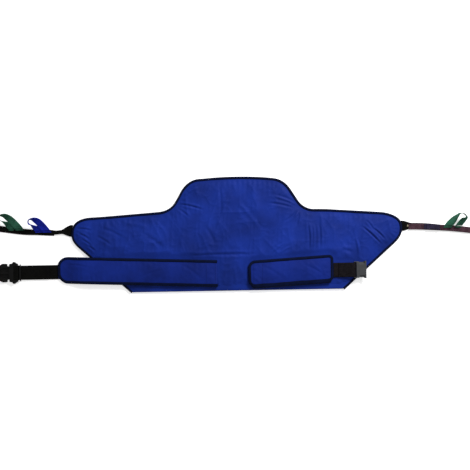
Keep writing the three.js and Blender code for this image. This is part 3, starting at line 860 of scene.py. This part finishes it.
def add_hem(side, outline, bottom):
    """The plain hem along the bottom edge: cloth folded over, sewn near its upper edge."""
    sign = SIGN[side]
    # height above the bottom edge, and 1 on the upper face or 0 on the lower one
    profile = [(HEM_DEPTH * t, 1.0) for t in np.linspace(1.0, 0.0, 9)]
    profile += [(-0.25 * MM, 0.62), (-0.3 * MM, 0.5), (-0.25 * MM, 0.38)]
    profile += [(HEM_DEPTH * t, 0.0) for t in np.linspace(0.0, 1.0, 9)]
    across = [k * 3 * MM for k in range(len(profile))]
    steps, inner = 90, 0.75 * MM
    verts, flats = [], []
    for i in range(steps + 1):
        share = i / steps
        ring, lining = [], []
        for rise, level in profile:
            y = bottom + rise
            x = sign * share * (diagonal_x(outline, max(y, bottom + 0.2 * MM), sign) - 9 * MM)
            edge = smoothstep(0.0, 9 * MM, rise) * (1.0 - smoothstep(0.93, 0.985, share))
            high = EDGE_HIGH - 1.2 * MM + 1.6 * MM * edge + 0.5 * MM * sin(x / (31 * MM)) * edge
            z = EDGE_LOW + (high - EDGE_LOW) * level
            ring.append((x, y, z))
            lining.append((x, max(y, bottom + 1.0 * MM), z + {1.0: -inner, 0.0: inner}.get(level, 0.0)))
        verts += ring + lining[::-1]
        flats += [(share * 0.38, a, 0.0) for a in across + across[::-1]]
    hem = mesh_object(f"{side}_bottom_hem_cloth", verts, tube_faces(steps + 1, 2 * len(profile)), flats)
    dress(hem, "panel_nylon")
    across_fold(hem, f"{side}_wing")
    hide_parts(f"{side}_wing_bottom_hem", "centre_bottom_hem")
    xs = np.linspace(0.0, sign * (diagonal_x(outline, bottom + HEM_SEAM, sign) - 24 * MM), 120)
    crown = 0.5 * MM * np.sin(xs / (31 * MM))
    rows = [sewn_row(xs, bottom + HEM_SEAM, EDGE_HIGH + 0.45 * MM + crown),
            sewn_row(xs, bottom + HEM_SEAM, EDGE_LOW, -1.0)]
    across_fold(stitches(f"{side}_hem_stitching", rows, "navy_thread", "panel_nylon"), f"{side}_wing")


def edge_levels(points):
    return np.full(len(points), EDGE_LOW), np.full(len(points), EDGE_HIGH)


def add_panel(arm_outlines):
    outline = lie_of_panel(rounded(plan_outline(layers_of(PANEL_PARTS, "front_cover"), 1.5 * MM)))
    (_, y0, _), (x1, y1, _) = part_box("female_buckle")
    x0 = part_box("right_webbing")[0][0] - 20 * MM
    under_buckle = np.array([(x0, y0), (x1, y0), (x1, y1), (x0, y1)])
    panel = make_panel(outline, [*arm_outlines, under_buckle])
    for side, sign in SIGN.items():
        half = half_of(panel, f"{side}_panel", sign)
        dress(half, "panel_nylon")
        across_fold(half, f"{side}_wing")
        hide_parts(*layers_of((f"{side}_wing", "centre"), "back_cover", "foam", "front_cover", "load_webbing"))
    bpy.data.objects.remove(panel)

    bottom = outline[:, 1].min()
    fine = resample(outline, 2 * MM, closed=True)
    for side, sign in SIGN.items():
        path = open_part(fine, (fine[:, 0] * sign > -1.2 * MM) & (fine[:, 1] > bottom + 0.6 * MM))
        # the tape runs on past the corner at the bottom edge
        if side == "right":
            path = np.vstack([beyond(path[2], path[0], 7 * MM), path])
        else:
            path = np.vstack([path, beyond(path[-3], path[-1], 7 * MM)])
        bind(f"{side}_panel", path, False, edge_levels, TAPE_DEPTH,
             (f"{side}_wing_binding", "centre_binding"), f"{side}_wing")
        add_hem(side, outline, bottom)


# ---- Padded belt arms ----

ARM_TAPE_DEPTH = 9.5 * MM
SEWING_REACH = 34 * MM        # half the length of a row that sews an arm down
# the flare widens each arm's lower binding outwards as painted shadow; the right arm's wide dark band stands for the
# shadow its pad casts on the panel
ARMS = {
    "left": {"flat_end": True, "shadow_flare": 1 * MM, "sewn_at": (-0.078, -0.109),
             "creases": [(-0.600, -0.100, -0.520, -0.108, 0.005, 0.0009),
                         (-0.350, -0.150, -0.250, -0.118, 0.006, 0.0006),
                         (-0.200, -0.100, -0.120, -0.160, 0.007, 0.0006)]},
    "right": {"flat_end": False, "shadow_flare": 6 * MM, "sewn_at": (0.056, 0.087),
              "creases": [(0.080, -0.110, 0.160, -0.160, 0.007, 0.0006),
                          (0.230, -0.110, 0.300, -0.150, 0.006, 0.0007)]},
}


def lie_of_arm(points, name, outline):
    """Plan points of an arm, with its upper edge and its outer end crept out a little."""
    points = points.copy()
    slope, middle = np.polyfit(outline[:, 0], outline[:, 1], 1)
    rise = points[:, 1] - (slope * points[:, 0] + middle)
    points[:, 1] += 2.6 * MM * smoothstep(-15 * MM, 20 * MM, rise)
    if name == "left":
        points[:, 0] -= 3.5 * MM * (1.0 - smoothstep(0.0, 50 * MM, points[:, 0] - outline[:, 0].min()))
    return points


def arm_nodes(name, *layers):
    return layers_of((f"{name}_pad_inner", f"{name}_pad_outer"), *layers)


def arm_outline(name):
    outline = rounded(plan_outline(arm_nodes(name, "front_cover"), 1.5 * MM), corner=0.8)
    return lie_of_arm(outline, name, outline)


def base_profile(name):
    """Lowest height of an arm along X, as a function, from the underside of its foam."""
    foam_lift, bin_width = 4.2 * MM, 1.5 * MM
    bins = {}
    for x, _, z in np.vstack([coordinates(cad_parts[node]) for node in arm_nodes(name, "foam")]):
        key = round(x / bin_width)
        bins[key] = min(bins.get(key, 1.0), z)
    xs = np.array(sorted(bins)) * bin_width
    zs = np.array([bins[key] for key in sorted(bins)]) - foam_lift
    return lambda x: np.interp(x, xs, zs)


def add_arm(name, outline):
    facts = ARMS[name]
    base = base_profile(name)
    nodes = arm_nodes(name, "back_cover", "webbing", "foam", "front_cover")
    bindings = [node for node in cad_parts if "binding" in node and node.startswith(f"{name}_pad")]
    pad = remeshed(f"{name}_arm_pad", nodes + bindings, 4 * MM)
    gap, level, x = press_edges(pad, lambda points: lie_of_arm(points, name, outline), base, outline, thick=10.5 * MM,
                                swell=2.0 * MM, full_at=30 * MM, middle=3.9 * MM, lift=0.9 * MM)
    pinned = np.maximum(1.0 - smoothstep(9 * MM, 12 * MM, gap), level < 0.2)
    if facts["flat_end"]:
        pinned = np.maximum(pinned, 1.0 - smoothstep(10 * MM, 30 * MM, np.abs(x - outline[:, 0].max())))
    blow_up(pad, pinned, 4.0, 6.5 * MM)
    subdivided(pad)
    set_coordinates(pad, wrinkled(pad, base, outline, (4.4 * MM, 7.4 * MM), 22 * MM, facts["creases"],
                                       [(0.07, 0.6 * MM, 11), (0.03, 0.3 * MM, 5)], 0.5 * MM))
    dress(pad, "pad_nylon")
    across_fold(pad, f"{name}_belt")
    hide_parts(*nodes)

    fine = resample(outline, 2 * MM, closed=True)
    if facts["flat_end"]:
        fine = open_part(fine, outline[:, 0].max() - fine[:, 0] > 0.5 * MM)

    def levels(points):
        low = base(points[:, 0])
        return low + 0.25 * MM, low + 7.6 * MM

    # the lower binding is widened by the arm's flare, as painted shadow
    bind(f"{name}_arm", fine, not facts["flat_end"], levels, ARM_TAPE_DEPTH, bindings,
         f"{name}_belt", facts["shadow_flare"])

    # rows that sew the arm down to the panel, or hold the webbing inside the free end
    rows = []
    middle = outline[np.abs(outline[:, 0] - facts["sewn_at"][0]) < 0.05][:, 1].mean()
    for x in facts["sewn_at"]:
        ys = np.linspace(middle - SEWING_REACH, middle + SEWING_REACH, 40)
        rows.append(sewn_row(x, ys, upper_face(pad, [(x, y) for y in ys]) + 0.1 * MM))
    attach(stitches(f"{name}_arm_sewing", rows, "navy_thread", "pad_nylon"), "centre")


# ---- Webbing ----

STRAP_THICKNESS = 1.7 * MM
BELT_THICKNESS = 1.6 * MM


def ribbon(name, path, across, width, slot, thickness=STRAP_THICKNESS):
    """Webbing along a path: rounded selvedges and a slight crown. across gives its width direction."""
    path = np.asarray(path, float)
    count = len(path)
    across = np.broadcast_to(np.asarray(across, float), (count, 3))
    along = unit(np.gradient(path, axis=0), SPARE)
    side = unit(across - along * np.sum(across * along, axis=1)[:, None], SPARE)
    face = np.cross(along, side)
    widths = np.broadcast_to(np.asarray(width, float), (count,))
    reach = distances(path)
    # place across the width and through the thickness, each from -1 to 1: the upper half, then the lower
    half = [(-1 + 2 * k / 14, 1.0) for k in range(1, 14)] + [(0.985, 0.75), (1.0, 0.0), (0.985, -0.75)]
    profile = half + [(-s, -f) for s, f in half]
    verts, flats = [], []
    for i in range(count):
        for s, f in profile:
            bulge = 1.0 - 0.12 * abs(s) ** 6
            verts.append(path[i] + side[i] * s * widths[i] / 2 + face[i] * f * bulge * thickness / 2)
            flats.append((reach[i], s * widths[i] / 2 + (0.1 if f < 0 else 0.0), 0.0))
    obj = mesh_object(name, verts, tube_faces(count, len(profile)), flats)
    dress(obj, slot)
    obj["length"] = float(reach[-1])
    return obj


def webbing(name, path, width, slot, body, node, thickness=STRAP_THICKNESS):
    """A ribbon whose width lies along Y, in place of a CAD node."""
    web = ribbon(name, path, (0, 1, 0), width, slot, thickness)
    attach(web, body)
    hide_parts(node)
    return web


def middle_of(node):
    """A node's corners, and its middle and size along Y."""
    low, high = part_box(node)
    return low, high, (low[1] + high[1]) / 2, high[1] - low[1]


def arc(x, z, radius, first, last, steps, y):
    """Points on an upright arc at y, between two angles in degrees."""
    angles = np.radians(np.linspace(first, last, steps + 1))
    return [(x + radius * cos(angle), y, z + radius * sin(angle)) for angle in angles]


def stitched_box(x0, x1, y0, y1, z):
    """Rows of a sewn rectangle with its two diagonals, on a flat stretch of webbing."""
    a, b, c, d = (x0, y0), (x1, y0), (x1, y1), (x0, y1)
    return [sewn_row(np.linspace(p[0], q[0], 20), np.linspace(p[1], q[1], 20), z)
            for p, q in ((a, b), (b, c), (c, d), (d, a), (a, c), (b, d))]


MALE_BAR_X = -0.7725
FEMALE_BAR_X = 0.408


def add_left_webbing():
    low, high, y, width = middle_of("left_webbing_run")
    run_z = (low[2] + high[2]) / 2
    path = resample([(high[0] + 8 * MM, y, run_z), (low[0], y, run_z)], 2.0 * MM)
    run = webbing("left_belt_run", path, width, "black_webbing", "left_belt_webbing", "left_webbing_run")
    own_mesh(run)

    # round the buckle's bar and back over the run
    front, rear = MALE_BAR_X - 12.4 * MM, MALE_BAR_X + 6.75 * MM
    bend, over = 2.0 * MM, 10.5 * MM
    tail_z = run_z + 1.9 * MM
    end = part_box("left_webbing_tail")[1][0]
    path = [(low[0], y, run_z)]
    path += arc(front + bend, run_z + bend, bend, -90, -180, 8, y)
    path += arc(front + bend, over - bend, bend, 180, 90, 8, y)
    path += arc(rear - bend, over - bend, bend, 90, 0, 8, y)
    path += arc(rear + bend, tail_z + bend, bend, 180, 270, 8, y)
    path += [(end - 0.045, y, tail_z), (end - 0.015, y, tail_z + 0.3 * MM), (end, y, tail_z + 1.0 * MM)]
    webbing("left_belt_tail", resample(path, 1.2 * MM), width, "black_webbing", "male_buckle", "left_webbing_tail",
            BELT_THICKNESS)
    ys = np.linspace(y - width / 2 + 2 * MM, y + width / 2 - 2 * MM, 30)
    rows = [sewn_row(end - inset, ys, tail_z + 0.75 * MM + lift)
            for inset, lift in ((3 * MM, 0.8 * MM), (6 * MM, 0.65 * MM))]
    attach(stitches("left_tail_stitching", rows, "dark_thread", "black_webbing"), "male_buckle")


def add_right_webbing():
    low, _, y, width = middle_of("right_webbing")
    run_z = low[2] + 0.8 * MM
    bar_z = run_z + 3 * MM
    back = run_z + 1.9 * MM
    path = [(low[0] - 0.3 * MM, y, run_z)]
    path += arc(FEMALE_BAR_X, bar_z, 3 * MM, -90, 90, 14, y)
    path += [(FEMALE_BAR_X - 8 * MM, y, bar_z + 2.9 * MM), (FEMALE_BAR_X - 16 * MM, y, (bar_z + 3 * MM + back) / 2),
             (FEMALE_BAR_X - 24 * MM, y, back), (0.352, y, back)]
    webbing("right_belt_webbing", resample(path, 1.2 * MM), width, "belt_webbing", "right_belt", "right_webbing",
            BELT_THICKNESS)
    rows = stitched_box(0.3545, 0.3800, y - width / 2 + 4 * MM, y + width / 2 - 4 * MM, back + 0.95 * MM)
    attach(stitches("right_webbing_stitching", rows, "dark_thread", "belt_webbing"), "right_belt")


# ---- Lift straps and loops ----

STRAP_KNOTS = {
    "left": [(-0.578, 0.015), (-0.640, 0.012), (-0.745, 0.020), (-0.830, 0.032), (-0.930, 0.047)],
    "right": [(0.578, 0.015), (0.640, 0.014), (0.745, 0.007), (0.830, -0.003), (0.930, -0.016)],
}
RUN_WIDTH = 19 * MM           # lift strap between the loops
TIP_WIDTH = {"left": 42 * MM, "right": 36 * MM}
MAROON_WIDTH = {"left": 17 * MM, "right": 21 * MM}
MAROON_SHIFT = {"left": -0.6 * MM, "right": -1.0 * MM}
MAROON_SLIP = {"left": -2.8 * MM, "right": 0.0}       # the run slips out below the strap towards the end loop
END_LAP = {"left": 7 * MM, "right": 9 * MM}           # the end loop's legs start on the strap's end


def strap_y(side, x):
    table = np.array([catmull(STRAP_KNOTS[side], i / 88) for i in range(89)])
    order = np.argsort(table[:, 0])
    return float(np.interp(x, table[order, 0], table[order, 1]))


def along_strap(side, start, end, height, shift=0.0, step=3 * MM):
    count = max(2, int(abs(end - start) / step))
    points = []
    for i in range(count + 1):
        reach = start + (end - start) * i / count
        z = height(reach) if callable(height) else height
        points.append((SIGN[side] * reach, strap_y(side, SIGN[side] * reach) + shift, z))
    return points


def span_of(node):
    """How far out a node begins and ends, and its middle height."""
    low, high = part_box(node)
    near, far = sorted((abs(low[0]), abs(high[0])))
    return near, far, (low[2] + high[2]) / 2


def add_lift_strap(side):
    sign, body = SIGN[side], f"{side}_strap"
    near, far, z = span_of(f"{side}_lift_strap")
    points = np.array(along_strap(side, near - 5 * MM, far, z, step=2 * MM))
    reach = np.abs(points[:, 0])
    width = RUN_WIDTH + (TIP_WIDTH[side] - RUN_WIDTH) * (1.0 - smoothstep(0.577, 0.614, reach))
    points[:, 1] += 2.4 * MM * (1.0 - smoothstep(0.66, 0.72, reach))
    if side == "left":
        points[:, 1] += 1.6 * MM * (1.0 - smoothstep(0.60, 0.64, reach))
        # gathered where it leaves the tip
        gather = window(0.598, 0.616, 0.628, 0.655, reach)
        width = width * (1.0 - 0.26 * gather)
        points[:, 2] += 2.2 * MM * gather
    strap = webbing(f"{side}_strap_webbing", points, width, "black_webbing", body, f"{side}_lift_strap")

    near, far, z_run = span_of(f"{side}_maroon_strap")
    shift, slip = MAROON_SHIFT[side], MAROON_SLIP[side]
    path = np.array(along_strap(side, near, far, z_run, shift))
    path[:, 1] += slip * smoothstep(0.69, 0.75, np.abs(path[:, 0]))
    webbing(f"{side}_maroon_webbing", path, MAROON_WIDTH[side], "maroon_webbing", body, f"{side}_maroon_strap")

    top = max(z, z_run) + 0.95 * MM
    rows = []
    for x in (sign * 0.650, sign * 0.712, sign * 0.740, sign * 0.838):
        y = strap_y(side, x) + (shift if z_run > z else 0.0)
        rows += stitched_box(x - 5 * MM, x + 5 * MM, y - 6.5 * MM, y + 6.5 * MM, top)
    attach(stitches(f"{side}_strap_stitching", rows, "dark_thread", "black_webbing"), body)
    if side == "right":
        rows = []
        for k in range(4):
            x = 0.5955 + 0.0011 * k
            y = strap_y(side, x)
            rows.append(sewn_row(x, np.linspace(y - 2 * MM, y + 8 * MM, 12), z + 0.9 * MM))
        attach(stitches("right_bar_tack", rows, "pale_thread", "black_webbing", 3.1 * MM, 0.55 * MM), body)
    add_end_loop(side, z, z_run, shift + slip)


def add_end_loop(side, z, z_run, shift):
    root, gap = 0.850, 11 * MM
    level = 1 if z_run > z else -1
    centre = min(z_run, z) + gap / 2
    far = 0.930 - gap / 2 - 0.8 * MM
    half = level * gap / 2
    sewn = root - END_LAP[side]

    def leg(start, finish, outward):
        step = 1.5 * MM if outward > 0 else -0.3 * MM      # the lower leg stays off the floor

        def height(reach):
            spread = (finish - start) * float(smoothstep(root, root + 0.042, reach))
            return start + spread + step * (1.0 - float(smoothstep(root - 1 * MM, root + 9 * MM, reach)))
        return height

    points = along_strap(side, sewn, far, leg(z_run, centre + half, level), shift)
    end_y = strap_y(side, SIGN[side] * far) + shift
    for angle in np.arange(1, 12) * pi / 12:
        points.append((SIGN[side] * (far + gap / 2 * sin(angle)), end_y, centre + half * cos(angle)))
    points += along_strap(side, far, sewn, leg(z, centre - half, -level), shift)
    webbing(f"{side}_end_loop_webbing", points, RUN_WIDTH, "maroon_webbing", f"{side}_end_loop", f"{side}_end_loop")


# Each knot is a place in millimetres and the direction of the webbing's width there.
LEANING = {
    "left_blue_loop": ("blue_webbing", [
        (-657, 5, 5.5, 0.7, 0.7, 0), (-665, 19, 7, 0.7, 0.7, 0), (-678, 37, 13, 0.7, 0.68, 0.1),
        (-693, 54, 22, 0.66, 0.6, 0.3), (-707, 62, 30, 0.5, 0.4, 0.75), (-720, 60, 33, 0.15, 0.1, 0.98),
        (-723, 49, 27, 0.1, -0.1, 0.99), (-712, 40, 17, 0.5, 0.1, 0.8), (-698, 27, 9, 0.8, 0.5, 0.3),
        (-686, 9, 6, 0.85, 0.5, 0)]),
    "left_green_loop": ("green_webbing", [
        (-752, 14, 5.5, 0.76, 0.65, 0), (-762, 31, 7, 0.75, 0.66, 0), (-778, 51, 13, 0.72, 0.67, 0.1),
        (-792, 66, 22, 0.66, 0.62, 0.3), (-807, 76, 30, 0.45, 0.5, 0.74), (-824, 75, 33, 0.15, 0.1, 0.98),
        (-827, 63, 27, 0.1, -0.1, 0.99), (-811, 54, 17, 0.5, 0.1, 0.8), (-796, 43, 10, 0.8, 0.45, 0.3),
        (-782, 24, 6, 0.85, 0.5, 0)]),
    "right_green_loop": ("green_webbing", [
        (731, 1, 7.8, -0.8, 0.6, 0), (740, 16, 9, -0.78, 0.62, -0.1), (755, 34, 15, -0.6, 0.45, -0.65),
        (767, 47, 22, -0.25, 0.2, -0.95), (777, 56, 28, -0.06, 0.06, -0.99), (789, 55, 30, 0, 0, -1),
        (796, 44, 27, 0.35, -0.35, -0.85), (788, 33, 20, 0.6, -0.5, -0.6), (778, 20, 13, 0.65, -0.5, -0.55),
        (770, 6, 9, 0.7, -0.6, -0.3)]),
}
LOOP_WIDTH = 25 * MM


def cut_along(obj, name, y, keep):
    """A copy of a ribbon cut along a line in X, keeping what lies above it or below it in plan."""
    bm = opened(obj.data)
    cut_off(bm, (0, y, 0), (0, -keep, 0))
    bmesh.ops.recalc_face_normals(bm, faces=bm.faces)
    area = sum(face.calc_area() for face in bm.faces)
    mesh = mesh_of(bm, name)
    shade_smooth(mesh)
    return new_object(name, mesh), area


def add_leaning_loop(name):
    """The free part of a loop, and the two roots that are sewn down on the strap."""
    slot, knots = LEANING[name]
    strap = f"{name.split('_')[0]}_strap"
    knots = np.array(knots)
    places, sides = knots[:, :3] * MM, knots[:, 3:]
    steps = np.arange(111) / 110
    whole = ribbon(f"{name}_whole", [catmull(places, step) for step in steps], [catmull(sides, step) for step in steps],
                   LOOP_WIDTH, slot)
    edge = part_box(name)[0][1] + 0.5 * MM
    loop, area = cut_along(whole, f"{name}_webbing", edge, 1)
    below, _ = cut_along(whole, f"{name}_below", edge - 2.2 * MM, -1)
    sewn = strap_y(name.split("_")[0], (places[0][0] + places[-1][0]) / 2) + 1.5 * MM
    roots, root_area = cut_along(below, f"{name}_roots", sewn, 1)
    bpy.data.objects.remove(whole)
    bpy.data.objects.remove(below)
    dress(loop, slot)
    dress(roots, slot)
    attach(loop, name)
    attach(roots, strap)
    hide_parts(name)


def add_flat_loop():
    low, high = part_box("right_blue_loop")
    z0 = low[2] + 0.8 * MM
    rise = (high[2] - low[2]) - 1.6 * MM
    turn = high[0] - rise / 2 - 0.8 * MM
    points = along_strap("right", low[0], turn, z0)
    y = strap_y("right", turn)
    points += arc(turn, z0 + rise / 2, rise / 2, -72, 72, 8, y)
    points += along_strap("right", turn, low[0] + 8 * MM, z0 + rise)
    loop = webbing("right_blue_loop_webbing", points, RUN_WIDTH, "blue_webbing", "right_blue_loop", "right_blue_loop",
                   BELT_THICKNESS)
    # painted shade: the blue loop is dressed in a darkened copy of the blue webbing, so that it looks shaded
    dress(loop, "blue_webbing", "navy_webbing")


# ---- Buckles ----

def moulded(name, node, slot, body, voxel=0.7 * MM, rounds=5):
    """A moulding with rounded edges, from the CAD node's own solid."""
    obj = remeshed(name, [node], voxel)
    relax(obj, rounds)
    shade_smooth(obj.data)
    dress(obj, slot)
    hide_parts(node)
    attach(obj, body)
    return obj


def ridges(name, centre, size, count, body, slot):
    """A row of raised grip bars along X, each rounded and tapered at its ends."""
    steps, ring = 8, 7
    verts, faces = [], []
    for i in range(count):
        base = len(verts)
        x = centre[0] + ((i + 0.5) / count - 0.5) * size[0]
        for k in range(steps + 1):
            t = k / steps - 0.5
            taper = math.sqrt(max(0.0, 1 - (2 * t) ** 6))
            for angle in np.linspace(0, pi, ring):
                verts.append((x + cos(angle) * 0.7 * MM, centre[1] + t * size[1],
                              centre[2] + sin(angle) * size[2] * taper))
        faces += [tuple(base + index for index in face) for face in tube_faces(steps + 1, ring)]
    obj = mesh_object(name, verts, faces)
    dress(obj, slot)
    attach(obj, body)


def add_buckles():
    male = moulded("male_frame_moulding", "male_buckle_frame", "black_acetal", "male_buckle")
    y = middle_of("male_buckle_frame")[2]
    # the side rails reach in to the webbing's edges
    co = coordinates(male)
    away = co[:, 1] - y
    rail = (np.abs(co[:, 0] - MALE_BAR_X) < 13 * MM) & (np.abs(away) > 24 * MM) & (np.abs(away) < 31.5 * MM)
    co[rail, 1] = y + np.sign(away[rail]) * (24.3 * MM + 0.2 * (np.abs(away[rail]) - 24 * MM))
    set_coordinates(male, co)
    for prong in ("upper_prong", "lower_prong"):
        moulded(f"{prong}_moulding", prong, "black_acetal", prong, 0.5 * MM, 4)
        low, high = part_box(prong)
        outer = high[1] - 5 * MM if prong == "upper_prong" else low[1] + 5 * MM
        ridges(f"{prong}_grip", (low[0] + 30 * MM, outer, high[2] - 0.2 * MM), (14 * MM, 6 * MM, 0.6 * MM), 5, prong,
               "black_acetal")
    female = moulded("female_buckle_moulding", "female_buckle", "grey_acetal", "female_buckle")
    _, high, y, _ = middle_of("female_buckle")
    # a shorter mouth, and a scoop in each side for the prongs' grips
    co = coordinates(female)
    co[:, 0] -= 5 * MM * smoothstep(high[0] - 32 * MM, high[0], co[:, 0])
    scoop = window(-31 * MM, -25 * MM, -15 * MM, -9 * MM, co[:, 0] - high[0])
    scoop = scoop * smoothstep(19 * MM, 23 * MM, np.abs(co[:, 1] - y))
    co[:, 2] -= 4.6 * MM * scoop * smoothstep(-2.6 * MM, -1.8 * MM, co[:, 2] - high[2])
    set_coordinates(female, co)
    for k, x in enumerate((high[0] - 9 * MM, high[0] - 30 * MM)):
        ridges(f"female_rib_{k + 1}", (x, y, high[2] - 0.2 * MM), (5 * MM, 40 * MM, 0.5 * MM), 2, "female_buckle",
               "grey_acetal")


# ---- Build ----

add_camera()
add_floor()
add_studio()
ARM_OUTLINES = {name: arm_outline(name) for name in ARMS}
add_panel(list(ARM_OUTLINES.values()))
for arm_name, arm_edge in ARM_OUTLINES.items():
    add_arm(arm_name, arm_edge)
add_left_webbing()
add_right_webbing()
for strap_side in SIGN:
    add_lift_strap(strap_side)
for loop_name in LEANING:
    add_leaning_loop(loop_name)
add_flat_loop()
add_buckles()
